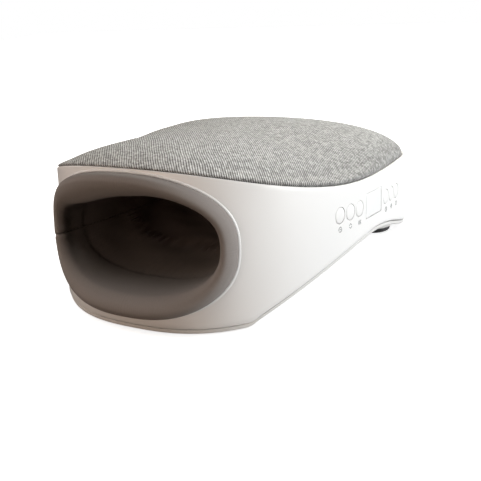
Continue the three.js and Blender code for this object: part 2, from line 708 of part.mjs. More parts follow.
// A bead stands round the cuff, where the wall flares out to seat it
function mouthBead() {
  const middle = (BEAD_OUTER + BEAD_INNER) / 2;
  return loft([
    cuffRing(-BEAD_OUTER, -WALL / 2),
    cuffRing(-BEAD_OUTER, BEAD_PROUD / 2),
    cuffRing(-middle, BEAD_PROUD),
    cuffRing(-BEAD_INNER, BEAD_PROUD / 2),
    cuffRing(-BEAD_INNER, -WALL / 2),
  ], true);
}

function buildShell(wall) {
  const solids = [toFloor(wall.clone()), toFloor(mouthBead())];
  for (const { at, turn } of SCREW_PLACES) {
    const low = at.z + BASE_WALL + WELL_RISE + GAP;
    const rib = block(0, BOSS_INSET - WALL / 2, -BOSS_RIB / 2, BOSS_RIB / 2, low + 3, low + BOSS_HEIGHT - 2);
    solids.push(upright(at.x, at.y, BOSS_R, low, low + BOSS_HEIGHT, 16));
    solids.push(rib.rotateZ(turn).translate(at.x, at.y, 0));
  }
  const boardPosts = [-1, 1].map((end) => {
    const local = upright(end * (BOARD_LENGTH / 2 - 2.4), 0, 2, BOARD / 2 + GAP, BOARD_SETBACK + BOARD, 12);
    return toFloor(local.applyMatrix4(BOARD_FRAME));
  });
  const rows = BUTTON_YS.map((y) => {
    const hole = upright(0, 0, BUTTON_HOLE / 2, -2 * WALL, 2 * WALL, 18);
    return toFloor(hole.applyMatrix4(wallFrame(y, rowZ(y))));
  });
  const display = prism(roundedRectangle(DISPLAY_LENGTH, DISPLAY_HEIGHT, 1), -2 * WALL, 2 * WALL)
    .applyMatrix4(wallFrame(DISPLAY_Y, rowZ(DISPLAY_Y)));
  const around = 2 * SOCKET.clearance;
  const socket = prism(stadium(SOCKET.width + around, SOCKET.height + around), 0, 30, 6)
    .rotateX(-Math.PI / 2)
    .translate(0, MAIN_BOARD.tongueEnd, SOCKET_Z);
  const pilots = SCREW_PLACES.map(({ at }) =>
    upright(at.x, at.y, SCREW_SHANK_R + GAP, at.z + BASE_WALL, at.z + BASE_WALL + BOSS_HEIGHT, 10));
  const tools = [toFloor(mouthTool(GAP)), ...rows, toFloor(display), socket, ...pilots];
  addPart("side_shell", cut(joined([...solids, ...boardPosts]), tools), WHITE);
}

const SOCKET_Z = MAIN_BOARD.z + BOARD + GAP + SOCKET.height / 2;

// Padded top: panel, foam and fabric follow one crown
function crownRing(drop, share, stations = PLAN) {
  return wallRing(WALL + GAP, rimZ, stations).map((p) => {
    const fade = 1 - share * share;
    const edge = p.z * (1 - fade) + rimZ(CROWN_Y) * fade;
    return new THREE.Vector3(
      p.x * share,
      CROWN_Y + (p.y - CROWN_Y) * share,
      edge + CROWN * fade ** CROWN_POWER - drop,
    );
  });
}

// A ring that keeps level with the rim, for an edge that is turned down to the ledge
function rimRing(drop, share, stations = PLAN) {
  return wallRing(WALL + GAP, rimZ, stations)
    .map((p) => new THREE.Vector3(p.x * share, CROWN_Y + (p.y - CROWN_Y) * share, p.z - drop));
}

function buildTop() {
  const foamTop = EDGE_DROP + FABRIC + LAYER_GAP;
  const foamLow = foamTop + FOAM;
  const panelTop = foamLow + LAYER_GAP;
  const hem = 1 - FABRIC / HALF_WIDTH;
  const dome = (rings, drop, stations) => rings.map((share) => crownRing(drop, share, stations));
  const cap = (rings, drop, stations) => dome([...rings].reverse(), drop, stations);
  const fabric = loft([
    ...cap([1, ...FINE_RINGS], EDGE_DROP),
    rimRing(foamLow, 1),
    rimRing(foamLow, hem),
    ...dome([hem, FOAM_SHARE, ...COARSE_RINGS], EDGE_DROP + FABRIC),
  ]);
  addPart("top_fabric", toFloor(fabric), FABRIC_GREY);
  const foamRings = [FOAM_SHARE, ...COARSE_RINGS];
  const foam = loft([...cap(foamRings, foamTop, INNER_PLAN), ...dome(foamRings, foamLow, INNER_PLAN)]);
  addPart("top_foam", toFloor(foam), FOAM_CREAM);
  const panel = loft([
    ...cap([PANEL_SHARE, ...COARSE_RINGS], panelTop, INNER_PLAN),
    rimRing(PANEL_SEAT, PANEL_SHARE, INNER_PLAN),
    rimRing(PANEL_SEAT, FLANGE_SHARE, INNER_PLAN),
    ...dome([FLANGE_SHARE, ...COARSE_RINGS], panelTop + PANEL, INNER_PLAN),
  ]);
  addPart("top_panel", toFloor(panel), FRAME_GREY);
}

// Cuff: a stuffed ring that rolls over the edge of the hand opening and funnels into the sleeve
function cuffRing(inset, proud) {
  return ringAngles(MOUTH_STATIONS).map((angle) => {
    const halfHeight = MOUTH_HALF_HEIGHT - inset * CUFF_TAPER;
    const p = ovalPoint(MOUTH_HALF_WIDTH - inset, halfHeight, angle);
    const z = MOUTH_Z + p.y;
    return new THREE.Vector3(p.x, frontFaceY(p.x, z) - proud, z);
  });
}

const CUFF_TAPER = (MOUTH_HALF_HEIGHT - THROAT_HALF_HEIGHT) / CUFF_ROLL;

function throatRing(grow) {
  return ringAngles(MOUTH_STATIONS).map((angle) => {
    const p = ovalPoint(THROAT_HALF_WIDTH + grow, THROAT_HALF_HEIGHT + grow, angle);
    return new THREE.Vector3(p.x, THROAT_Y, MOUTH_Z + p.y);
  });
}

function neckRing(grow, proud) {
  return ringAngles(MOUTH_STATIONS).map((angle) => {
    const p = ovalPoint(THROAT_HALF_WIDTH + grow, THROAT_HALF_HEIGHT + grow, angle);
    const z = MOUTH_Z + p.y;
    return new THREE.Vector3(p.x, frontFaceY(p.x, z) - proud, z);
  });
}

function buildCuff() {
  const rings = [
    cuffRing(0.4, GAP),
    cuffRing(0, 0.5 * CUFF_PROUD),
    cuffRing(0.1 * CUFF_ROLL, 0.86 * CUFF_PROUD),
    cuffRing(0.34 * CUFF_ROLL, CUFF_PROUD),
    cuffRing(0.6 * CUFF_ROLL, 0.8 * CUFF_PROUD),
    cuffRing(0.82 * CUFF_ROLL, 0.2 * CUFF_PROUD),
    neckRing(0.3, -WALL - 2),
    throatRing(0),
    throatRing(CUFF_WALL - GAP),
    neckRing(CUFF_WALL, GAP),
  ];
  addPart("mouth_cuff", toFloor(loft(rings, true)), KNIT_TAUPE);
}

function buildSleeve() {
  const [front, back] = [THROAT_Y + GAP, SLEEVE_END_Y];
  const end = back + SLEEVE_CLOSE;
  const liner = loft([
    sleeveRing(end, SLEEVE_WALL, 0.6),
    sleeveRing(end - 2, SLEEVE_WALL, 0.9),
    sleeveRing(back, SLEEVE_WALL),
    sleeveRing(front, SLEEVE_WALL),
    sleeveRing(front, 0),
    sleeveRing(back, 0),
    sleeveRing(end - 2 - SLEEVE_WALL, 0, 0.88),
    sleeveRing(end - SLEEVE_WALL, 0, 0.55),
  ]);
  addPart("hand_sleeve", toFloor(liner), SLEEVE_BROWN);

  const inside = SLEEVE_WALL + GAP;
  const bagYs = [THROAT_Y + BAG_FRONT_INSET, SLEEVE_END_Y - BAG_REAR_INSET];
  addPart("heat_film", toFloor(sleevePlate(bagYs, ...FILM_SPAN, inside, inside + FILM)), COPPER);
  const upperBag = sleevePlate(bagYs, ...UPPER_BAG_SPAN, inside + FILM + GAP, BAG_DEPTH);
  addPart("upper_air_bag", toFloor(joined([upperBag, bagPort(UPPER_PORT)])), BAG_BLUE);

  const sheetLow = inside + NODE_HEIGHT;
  const sheet = sleevePlate(bagYs, ...SHEET_SPAN, sheetLow, sheetLow + NODE_SHEET);
  const nodes = [];
  const rowPitch = (bagYs[1] - bagYs[0]) / (2 * NODE_ROWS);
  for (const y of spread(bagYs[0] + rowPitch, bagYs[1] - rowPitch, NODE_ROWS)) {
    const section = sleeveSection(y);
    for (const angle of NODE_ANGLES) {
      const turned = THREE.MathUtils.degToRad(angle);
      const p = ovalPoint(section.halfWidth + sheetLow, section.halfHeight + sheetLow, turned);
      const inward = new THREE.Vector2(-p.x / 3, -p.y).normalize();
      const turn = new THREE.Quaternion().setFromUnitVectors(
        new THREE.Vector3(0, 1, 0), new THREE.Vector3(inward.x, 0, inward.y));
      const dome = new THREE.CylinderGeometry(NODE_RADIUS * 0.5, NODE_RADIUS, NODE_HEIGHT + 0.5, 8);
      const lift = (NODE_HEIGHT - 0.6) / 2 - 0.15;
      dome.applyQuaternion(turn).translate(p.x + inward.x * lift, y, section.z + p.y + inward.y * lift);
      nodes.push(dome);
    }
  }
  addPart("massage_nodes", toFloor(joined([sheet, ...nodes])), LIGHT_GREY);
  const lowerBag = sleevePlate(bagYs, ...LOWER_BAG_SPAN, sheetLow + NODE_SHEET + 2 * GAP, BAG_DEPTH);
  addPart("lower_air_bag", toFloor(joined([lowerBag, bagPort(LOWER_PORT)])), BAG_BLUE);

  const frameYs = [FRAME_FRONT_Y, SLEEVE_END_Y + FRAME_SETBACK];
  const split = 0.15;
  const halves = { upper_frame: [split, 180 - split], lower_frame: [180 + split, 360 - split] };
  for (const [name, [a0, a1]] of Object.entries(halves)) {
    const half = sleevePlate(frameYs, a0, a1, FRAME_INNER, FRAME_OUTER);
    const ribs = FRAME_RIB_SHARES.map((share) => {
      const y = THREE.MathUtils.lerp(THROAT_Y, SLEEVE_END_Y, share);
      return sleevePlate([y, y + FRAME_WALL], a0, a1, FRAME_OUTER - 0.5, FRAME_OUTER + FRAME_RIB);
    });
    addPart(name, toFloor(joined([half, ...ribs])), FRAME_GREY);
  }
}

// A straight air nipple at the rear end of an air bag
const UPPER_PORT = 60;
const LOWER_PORT = 300;

function portPlace(angle) {
  const y = SLEEVE_END_Y - BAG_REAR_INSET;
  const section = sleeveSection(y);
  const middle = BAG_DEPTH - PORT_R - 0.4;
  const turned = THREE.MathUtils.degToRad(angle);
  const p = ovalPoint(section.halfWidth + middle, section.halfHeight + middle, turned);
  return new THREE.Vector3(p.x, y, section.z + p.y);
}

function bagPort(angle) {
  const p = portPlace(angle);
  const length = BAG_PORT_LENGTH + 3;
  return new THREE.CylinderGeometry(PORT_R, PORT_R, length, 12).translate(p.x, p.y - 3 + length / 2, p.z);
}

const bagPortTip = (angle, past = 0) =>
  portPlace(angle).add(new THREE.Vector3(0, BAG_PORT_LENGTH + past, 0)).applyMatrix4(floorFromCase);

// Feet and base screws
function buildFeetAndScrews() {
  const corners = { left: -1, right: 1 };
  for (const [name, side] of Object.entries(corners)) {
    for (const [end, foot] of [["front", FRONT_FOOT], ["rear", REAR_FOOT]]) {
      const top = foot.proud + foot.recess;
      const profile = [
        new THREE.Vector2(0, 0),
        new THREE.Vector2(foot.r - 0.8, 0),
        new THREE.Vector2(foot.r, 0.8),
        new THREE.Vector2(foot.r, top),
        new THREE.Vector2(0, top),
      ];
      const pad = new THREE.LatheGeometry(profile, 20).rotateX(Math.PI / 2);
      addPart(`${end}_${name}_foot`, pad, RUBBER).position.set(side * foot.x, foot.y, 0);
    }
  }
  SCREW_PLACES.forEach(({ at }, i) => {
    const profile = [
      new THREE.Vector2(0, 0),
      new THREE.Vector2(SCREW_HEAD_R * 0.8, 0),
      new THREE.Vector2(SCREW_HEAD_R, 0.5),
      new THREE.Vector2(SCREW_HEAD_R, SCREW_HEAD),
      new THREE.Vector2(SCREW_SHANK_R, SCREW_HEAD),
      new THREE.Vector2(SCREW_SHANK_R, SCREW_LENGTH - 1),
      new THREE.Vector2(0, SCREW_LENGTH),
    ];
    const screw = new THREE.LatheGeometry(profile, 12).rotateX(Math.PI / 2);
    addPart(`base_screw_${i + 1}`, screw, STEEL).position.copy(at);
  });
}

const MANIFOLD_PORT_Z = BASE_TOP + GAP + MANIFOLD.height / 2;

// Air pump: motor can, diaphragm head and the eccentric that the motor turns inside it
function buildPump() {
  const [y, z, headX, joinX, endX] = [PUMP_Y, PUMP_Z, PUMP_HEAD_X, PUMP_JOIN_X, PUMP_END_X];
  const shaftEnd = joinX + ROTOR.reach;
  const shaftHole = sideways(y, z, ROTOR.shaftR + ROTOR.bore, joinX - PUMP_WALL - 1, shaftEnd + GAP, 14);
  const head = joined([
    sideways(y, z, PUMP_HEAD_R, headX, joinX - GAP),
    sideways(y, z, PORT_R, headX - PORT_LENGTH, headX + 1, 12),
  ]);
  const hollow = sideways(y, z, PUMP_HOLLOW_R, headX + PUMP_WALL, joinX - GAP - PUMP_WALL);
  addPart("pump_head", cut(head, [hollow, shaftHole]), FRAME_GREY);
  const can = joined([
    sideways(y, z, PUMP_MOTOR_R, joinX, endX),
    sideways(y, z, PUMP_BEARING_R, endX - 1, endX + 2, 16),
  ]);
  addPart("pump_motor", cut(can, [shaftHole]), STEEL);
  const shaft = sideways(0, 0, ROTOR.shaftR, joinX - PUMP_WALL - ROTOR.length, shaftEnd, 14);
  const discX = joinX - PUMP_WALL - 2;
  const disc = sideways(ROTOR.offset, 0, ROTOR.discR, discX - ROTOR.length, discX, 20);
  addPart("pump_eccentric", joined([shaft, disc]), STEEL).position.set(0, y, z);
}

function buildValves() {
  const m = MANIFOLD;
  const low = BASE_TOP + GAP + m.lift;
  const top = low + m.height;
  const middle = (m.y0 + m.y1) / 2;
  const body = block(m.x0, m.x1, m.y0, m.y1, low, top);
  const nipples = [m.inletX, ...VALVE_XS].map((x) =>
    new THREE.CylinderGeometry(PORT_R, PORT_R, PORT_LENGTH + 1, 12)
      .translate(x, m.y0 - PORT_LENGTH / 2 + 0.5, MANIFOLD_PORT_Z));
  addPart("air_manifold", joined([body, ...nipples]), FRAME_GREY);
  VALVE_XS.forEach((x, i) => {
    const z0 = top + GAP;
    const z1 = z0 + VALVE.height;
    const half = VALVE.side / 2;
    const can = block(x - half, x + half, middle - half, middle + half, z0, z1);
    const bore = upright(x, middle, VALVE.bore / 2, z1 - VALVE.depth, z1 + 1, 20);
    addPart(`valve_body_${i + 1}`, cut(can, [bore]), STEEL);
    const seat = z1 - VALVE.depth + VALVE.travel + GAP;
    const rod = joined([
      upright(0, 0, VALVE.plunger / 2, seat - z1, VALVE.proud, 20),
      upright(0, 0, VALVE.plunger / 2 + 1.2, VALVE.proud - 0.6, VALVE.proud, 20),
    ]);
    addPart(`valve_plunger_${i + 1}`, rod, STEEL).position.set(x, middle, z1);
  });
}

function buildBattery() {
  const z = BASE_TOP + GAP + TRAY_FLOOR + GAP + CELL_R;
  const half = CELL_LENGTH / 2;
  const [y0, y1] = [CELL_Y - CELL_R - 1, CELL_Y + CELL_PITCH + CELL_R + 1];
  const wall = half + GAP + TRAY_WALL;
  const tray = block(-wall, wall, y0, y1, BASE_TOP + GAP, BASE_TOP + GAP + TRAY_FLOOR + 7);
  const cells = [CELL_Y, CELL_Y + CELL_PITCH];
  const hollows = cells.map((y) => sideways(y, z, CELL_R + GAP, -half - GAP, half + GAP));
  addPart("battery_tray", cut(tray, hollows), FRAME_GREY);
  cells.forEach((y, i) => {
    const cell = joined([
      sideways(0, 0, CELL_R, -half, half - 1.2),
      sideways(0, 0, 3, half - 2, half, 16),
    ]);
    addPart(`battery_cell_${i + 1}`, cell, CELL_WRAP).position.set(0, y, z);
  });
}

function buildMainBoard() {
  const { halfWidth, y0, y1, tongue, tongueEnd, z } = MAIN_BOARD;
  const outline = new THREE.Shape();
  outline.moveTo(-halfWidth, y0);
  outline.lineTo(halfWidth, y0);
  outline.lineTo(halfWidth, y1);
  outline.lineTo(tongue, y1);
  outline.lineTo(tongue, tongueEnd);
  outline.lineTo(-tongue, tongueEnd);
  outline.lineTo(-tongue, y1);
  outline.lineTo(-halfWidth, y1);
  const board = prism(outline, z, z + BOARD);
  const [top, middle] = [z + BOARD, (y0 + y1) / 2];
  const chip = (x0, x1, half, lift) =>
    block(x0 * halfWidth, x1 * halfWidth, middle - half, middle + half, z + 1, top + lift);
  const chips = [
    chip(-0.45, -0.18, 6, CHIP_LIFT.processor),
    chip(0.12, 0.35, 5, CHIP_LIFT.driver),
    upright(0.62 * halfWidth, middle - 6, CAPACITOR_R, z + 1, top + CHIP_LIFT.capacitor, 16),
    upright(0.62 * halfWidth, middle + 6, CAPACITOR_R, z + 1, top + CHIP_LIFT.capacitor, 16),
    chip(0.8, 0.96, 6, CHIP_LIFT.connector),
  ];
  addPart("main_board", joined([board, ...chips]), BOARD_GREEN);
  const shellOuter = prism(stadium(SOCKET.width, SOCKET.height), 0, SOCKET.depth, 6);
  const twice = 2 * SOCKET.wall;
  const shellInner = prism(stadium(SOCKET.width - twice, SOCKET.height - twice), 1, SOCKET.depth + 1, 6);
  const tongueBlade = block(-3.2, 3.2, -0.35, 0.35, 0.5, SOCKET.depth - 1.2);
  const jack = joined([cut(shellOuter, [shellInner]), tongueBlade]);
  addPart("charging_socket", jack.rotateX(-Math.PI / 2), STEEL).position.set(0, SOCKET_Y, SOCKET_Z);
}

const SOCKET_Y = MAIN_BOARD.tongueEnd - 2;

// A soft tube pushed over a nipple at each end
function hose(name, points, steps) {
  const ring = (r) => Array.from({ length: HOSE_SIDES }, (_, i) => {
    const angle = (i / HOSE_SIDES) * 2 * Math.PI;
    return new THREE.Vector2(r * Math.cos(angle), r * Math.sin(angle));
  });
  const section = new THREE.Shape(ring(HOSE_R));
  section.holes.push(new THREE.Path(ring(HOSE_BORE)));
  const curve = new THREE.CatmullRomCurve3(points.map((p) => (p.isVector3 ? p : new THREE.Vector3(...p))));
  const tube = new THREE.ExtrudeGeometry(section, { steps, bevelEnabled: false, extrudePath: curve });
  addPart(name, tube, HOSE_CLEAR);
}

function buildHoses() {
  const tip = MANIFOLD.y0 - PORT_LENGTH;
  const portZ = MANIFOLD_PORT_Z;
  const manifoldEnd = (x) => [[x, tip - 2, portZ], [x, tip, portZ], [x, tip + HOSE_LAP, portZ]];
  const start = PUMP_HEAD_X - PORT_LENGTH;
  const bend = HOSE_BEND;
  hose("pump_hose", [
    [start + HOSE_LAP, PUMP_Y, PUMP_Z],
    [start, PUMP_Y, PUMP_Z],
    [start - bend + 1, PUMP_Y - 1, PUMP_Z - 0.5],
    [start - bend, PUMP_Y - HOSE_FALL_Y, PUMP_Z - HOSE_FALL_Y / 2],
    [start + HOSE_TURN_X, HOSE_LOW_Y + 2, HOSE_LOW_Z + 1.5],
    [PUMP_JOIN_X + 9, HOSE_LOW_Y, HOSE_LOW_Z],
    [PUMP_END_X - 1, HOSE_LOW_Y - 1, HOSE_LOW_Z + 0.5],
    ...manifoldEnd(MANIFOLD.inletX),
  ], 22);
  const bagEnd = (angle) => [3, 0, -HOSE_LAP].map((past) => bagPortTip(angle, past));
  hose("lower_bag_hose", [...manifoldEnd(VALVE_XS[0]).reverse(), ...bagEnd(LOWER_PORT)], 8);
  const [, front] = manifoldEnd(VALVE_XS[1]);
  hose("upper_bag_hose", [
    ...manifoldEnd(VALVE_XS[1]).reverse(),
    [VALVE_XS[1] - 1, front[1] - bend, portZ + bend + 1],
    [VALVE_XS[1] - 7, front[1] - bend + 1, portZ + 28],
    ...bagEnd(UPPER_PORT),
  ], 15);
}

const wall = shellWall();
buildShell(wall);
addPart("base_cover", buildBase(), LIGHT_GREY);
buildTop();
buildCuff();
buildSleeve();
buildButtons(wall);
buildDisplay(wall);
buildControlBoard();
buildFeetAndScrews();
buildPump();
buildValves();
buildBattery();
buildMainBoard();
buildHoses();

// The part's origin is the middle of its footprint, on the table
const bounds = new THREE.Box3().setFromObject(floor);
floor.position.set(0, -(bounds.min.y + bounds.max.y) / 2, 0);

export default group;
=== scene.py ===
"""Hand massager: the visible skins, soft goods, finishes and studio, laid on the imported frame."""
import logging
import math
from dataclasses import dataclass
from enum import Enum
from typing import Any, Callable, List, Mapping, Optional, Sequence, Tuple, Union

import bpy
from mathutils import Matrix, Vector


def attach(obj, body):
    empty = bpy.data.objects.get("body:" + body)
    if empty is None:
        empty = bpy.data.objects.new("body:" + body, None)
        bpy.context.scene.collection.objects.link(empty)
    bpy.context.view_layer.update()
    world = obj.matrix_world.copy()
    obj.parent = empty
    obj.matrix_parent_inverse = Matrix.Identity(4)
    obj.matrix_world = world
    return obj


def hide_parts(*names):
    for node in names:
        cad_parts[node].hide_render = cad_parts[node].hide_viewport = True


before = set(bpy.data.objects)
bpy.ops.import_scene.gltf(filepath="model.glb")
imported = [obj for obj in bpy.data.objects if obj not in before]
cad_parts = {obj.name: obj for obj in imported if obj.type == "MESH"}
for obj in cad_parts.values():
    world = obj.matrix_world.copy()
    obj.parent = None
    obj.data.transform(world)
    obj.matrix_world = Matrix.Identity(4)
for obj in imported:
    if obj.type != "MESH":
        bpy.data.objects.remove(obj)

LOG = logging.getLogger("hand_massager")
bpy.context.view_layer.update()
MM = 0.001
TURN = 2.0 * math.pi
SOFT, FINE = 2.0, 3.0

Pair = Tuple[float, float]
Triple = Tuple[float, float, float]
Ring = List[Vector]
Height = Callable[[float], float]
Swell = Callable[[float, float, float], float]
Socket = bpy.types.NodeSocket
Object = bpy.types.Object


# Shader maths

def operator(operation: str, swapped: bool = False) -> Callable[..., "Value"]:
    """Return a method that gives a Math node's result of a value and another.

    Args:
        operation: The Math node's operation.
        swapped: The other operand comes first.

    Returns:
        The method.
    """
    def method(self: "Value", *other: Any) -> "Value":
        """Return the node's result."""
        return self.tree.maths(operation, *((*other, self) if swapped else (self, *other)))
    return method


class Value:
    """A number that changes over a surface, written like plain arithmetic."""

    def __init__(self, tree: "Tree", socket: Socket) -> None:
        """Wrap a socket of a tree."""
        self.tree = tree
        self.socket = socket

    __add__ = operator("ADD")
    __radd__ = operator("ADD", True)
    __sub__ = operator("SUBTRACT")
    __rsub__ = operator("SUBTRACT", True)
    __mul__ = operator("MULTIPLY")
    __rmul__ = operator("MULTIPLY", True)
    __truediv__ = operator("DIVIDE")
    __gt__ = operator("GREATER_THAN")
    sine = operator("SINE")
    size = operator("ABSOLUTE")
    floor = operator("FLOOR")
    at_least = operator("MAXIMUM")
    at_most = operator("MINIMUM")

    def clamped(self) -> "Value":
        """Return the value held between 0 and 1."""
        return self.at_least(0.0).at_most(1.0)

    def wave(self) -> "Value":
        """Return a wave between 0 and 1 that repeats at every whole number."""
        return (self * TURN).sine() * 0.5 + 0.5


class Tree:
    """One material's nodes, with its surface shader and the object's own millimetres."""

    def __init__(self, name: str) -> None:
        """Start an empty material of this name."""
        self.material = bpy.data.materials.new(name)
        self.material.use_nodes = True
        self.tree = self.material.node_tree
        self.tree.nodes.clear()
        self.shader = self.node("ShaderNodeBsdfPrincipled")
        self.feed(self.node("ShaderNodeOutputMaterial").inputs["Surface"], self.shader.outputs[0])

    def node(self, kind: str, settings: Optional[Mapping[str, Any]] = None,
             inputs: Optional[Mapping[Union[str, int], Any]] = None) -> bpy.types.Node:
        """Add a node, set it up and fill its sockets.

        Args:
            kind: The node's type name.
            settings: Its own settings, set first.
            inputs: Values or links by socket name or number.

        Returns:
            The new node.
        """
        made = self.tree.nodes.new(kind)
        for key, value in (settings or {}).items():
            setattr(made, key, value)
        for key, value in (inputs or {}).items():
            self.feed(made.inputs[key], value)
        return made

    def feed(self, socket: Socket, value: Any) -> None:
        """Give a socket a link, a colour or a plain value."""
        if isinstance(value, Value):
            value = value.socket
        if isinstance(value, Socket):
            self.tree.links.new(value, socket)
        elif isinstance(value, tuple) and socket.type == "RGBA":
            socket.default_value = (*value, 1.0)
        else:
            socket.default_value = value

    def maths(self, operation: str, *operands: Any) -> Value:
        """Return a Math node's result."""
        made = self.node("ShaderNodeMath", {"operation": operation}, dict(enumerate(operands)))
        return Value(self, made.outputs[0])

    def place(self) -> Socket:
        """Return the point's place in millimetres."""
        inputs = {0: self.node("ShaderNodeTexCoord").outputs["Object"], "Scale": 1.0 / MM}
        return self.node("ShaderNodeVectorMath", {"operation": "SCALE"}, inputs).outputs[0]

    def axes(self, place: Socket) -> Tuple[Value, Value, Value]:
        """Return a place's three coordinates."""
        parts = self.node("ShaderNodeSeparateXYZ", inputs={0: place})
        return tuple(Value(self, parts.outputs[i]) for i in range(3))

    def unwrapped(self) -> Tuple[Value, Value]:
        """Return the distances in millimetres along and across a piece that was laid out so."""
        along, across, _ = self.axes(self.node("ShaderNodeTexCoord").outputs["UV"])
        return along * (1.0 / MM), across * (1.0 / MM)

    def point(self, x: Any, y: Any, z: Any = 0.0) -> Socket:
        """Return a place made of three coordinates."""
        return self.node("ShaderNodeCombineXYZ", inputs={0: x, 1: y, 2: z}).outputs[0]

    def noise(self, place: Socket, size: float, detail: float = SOFT) -> Value:
        """Return soft noise whose patches are size millimetres across."""
        made = self.node("ShaderNodeTexNoise", inputs={
            "Vector": place, "Scale": 1.0 / size, "Detail": detail, "Roughness": 0.55})
        return Value(self, made.outputs["Fac"])

    def cells(self, place: Socket, size: float) -> Value:
        """Return the distance to the nearest of scattered points, size millimetres apart."""
        made = self.node("ShaderNodeTexVoronoi", inputs={"Vector": place, "Scale": 1.0 / size})
        return Value(self, made.outputs["Distance"])

    def speck(self, place: Socket) -> Value:
        """Return a random number for each whole place."""
        made = self.node("ShaderNodeTexWhiteNoise", {"noise_dimensions": "2D"}, {"Vector": place})
        return Value(self, made.outputs["Value"])

    def mix(self, share: Any, first: Any, second: Any) -> Socket:
        """Return a blend of two colours."""
        inputs = {"Factor": share, 6: first, 7: second}
        return self.node("ShaderNodeMix", {"data_type": "RGBA"}, inputs).outputs[2]

    def bump(self, height: Value, distance: float) -> None:
        """Let a height shape the surface, where 1 stands for distance in millimetres."""
        inputs = {"Strength": 1.0, "Distance": distance * MM, "Height": height}
        self.surface(normal=self.node("ShaderNodeBump", inputs=inputs).outputs[0])

    def surface(self, **values: Any) -> bpy.types.Material:
        """Fill the surface shader's sockets, named with underscores, and return the material."""
        for key, value in values.items():
            self.feed(self.shader.inputs[key.replace("_", " ").title()], value)
        return self.material


# Finishes

@dataclass(frozen=True)
class Finish:
    """A material's name and main colour."""

    name: str
    colour: Triple

    def shade(self, share: float) -> Triple:
        """Return the main colour made lighter or darker."""
        return tuple(min(1.0, c * share) for c in self.colour)


@dataclass(frozen=True)
class Moulding(Finish):
    """Moulded plastic with a fine spark texture, faint flow marks and a softly varying gloss."""

    roughness: float = 0.42
    grain: float = 0.25
    depth: float = 0.012
    drift: float = 0.02
    flow: float = 34.0
    gloss_patch: float = 9.0
    gloss_drift: float = 0.05

    def material(self) -> bpy.types.Material:
        """Return the material."""
        tree = Tree(self.name)
        place = tree.place()
        tree.bump(tree.noise(place, self.grain, FINE), self.depth)
        flow = tree.noise(place, self.flow)
        gloss = tree.noise(place, self.gloss_patch)
        colour = tree.mix(flow, self.shade(1.0 - self.drift), self.shade(1.0 + self.drift))
        return tree.surface(base_color=colour,
                            roughness=self.roughness - self.gloss_drift + 2.0 * self.gloss_drift * gloss)


@dataclass(frozen=True)
class Melange(Finish):
    """Woven upholstery twill: slanting ridges of light yarn over dark ones, flecked and slubby, with painted
    shade where the cloth slopes steeply.
    """

    dark: Triple
    ridge: float = 1.12
    pick: float = 0.95
    slant: float = math.radians(35.0)
    sway: float = 2.4
    sway_patch: float = 30.0
    line_share: float = 0.68
    body: float = 1.05
    fleck: float = 0.42
    fine: float = 0.22
    slub: float = 0.5
    slub_size: float = 2.2
    slub_stretch: Pair = (0.5, 1.2)
    darkness: float = 0.66
    relief: float = 0.3
    relief_shares: Pair = (0.8, 0.5)
    # Painted shade on the cloth's sloping sides: how dark it gets, and how soon it comes on
    slope_painted_shade: float = 0.26
    painted_shade_onset: float = 4.0
    other_yarns: float = 91.0
    roughness: float = 0.94
    sheen: Pair = (0.12, 0.6)

    def material(self) -> bpy.types.Material:
        """Return the material."""
        tree = Tree(self.name)
        x, y = tree.unwrapped()
        sway = tree.noise(tree.place(), self.sway_patch) * self.sway
        c, s = math.cos(self.slant), math.sin(self.slant)
        across = (x * c + y * s + sway) / self.ridge
        along = (y * c - x * s + sway) / self.pick
        height = across.wave() * self.line_share + (along + across * 0.5).wave() * (1.0 - self.line_share)
        fleck = tree.speck(tree.point(across.floor(), (along * 0.5).floor()))
        fine = tree.speck(tree.point((across * 2.0).floor() + self.other_yarns, along.floor()))
        stretched = tree.point(x * self.slub_stretch[0], y * self.slub_stretch[1])
        slub = tree.noise(stretched, self.slub_size, FINE)
        # Painted shade: the colour is darkened where the surface slopes steeply, towards the rim
        _, _, upright = tree.axes(tree.node("ShaderNodeNewGeometry").outputs["Normal"])
        steep = ((1.0 - upright) * self.painted_shade_onset).clamped() * self.slope_painted_shade
        light = (height * self.body + fleck * self.fleck + fine * self.fine + slub * self.slub
                 - self.darkness - steep).clamped()
        tree.bump(height * self.relief_shares[0] + slub * self.relief_shares[1], self.relief)
        return tree.surface(base_color=tree.mix(light, self.dark, self.colour), roughness=self.roughness,
                            sheen_weight=self.sheen[0], sheen_roughness=self.sheen[1])


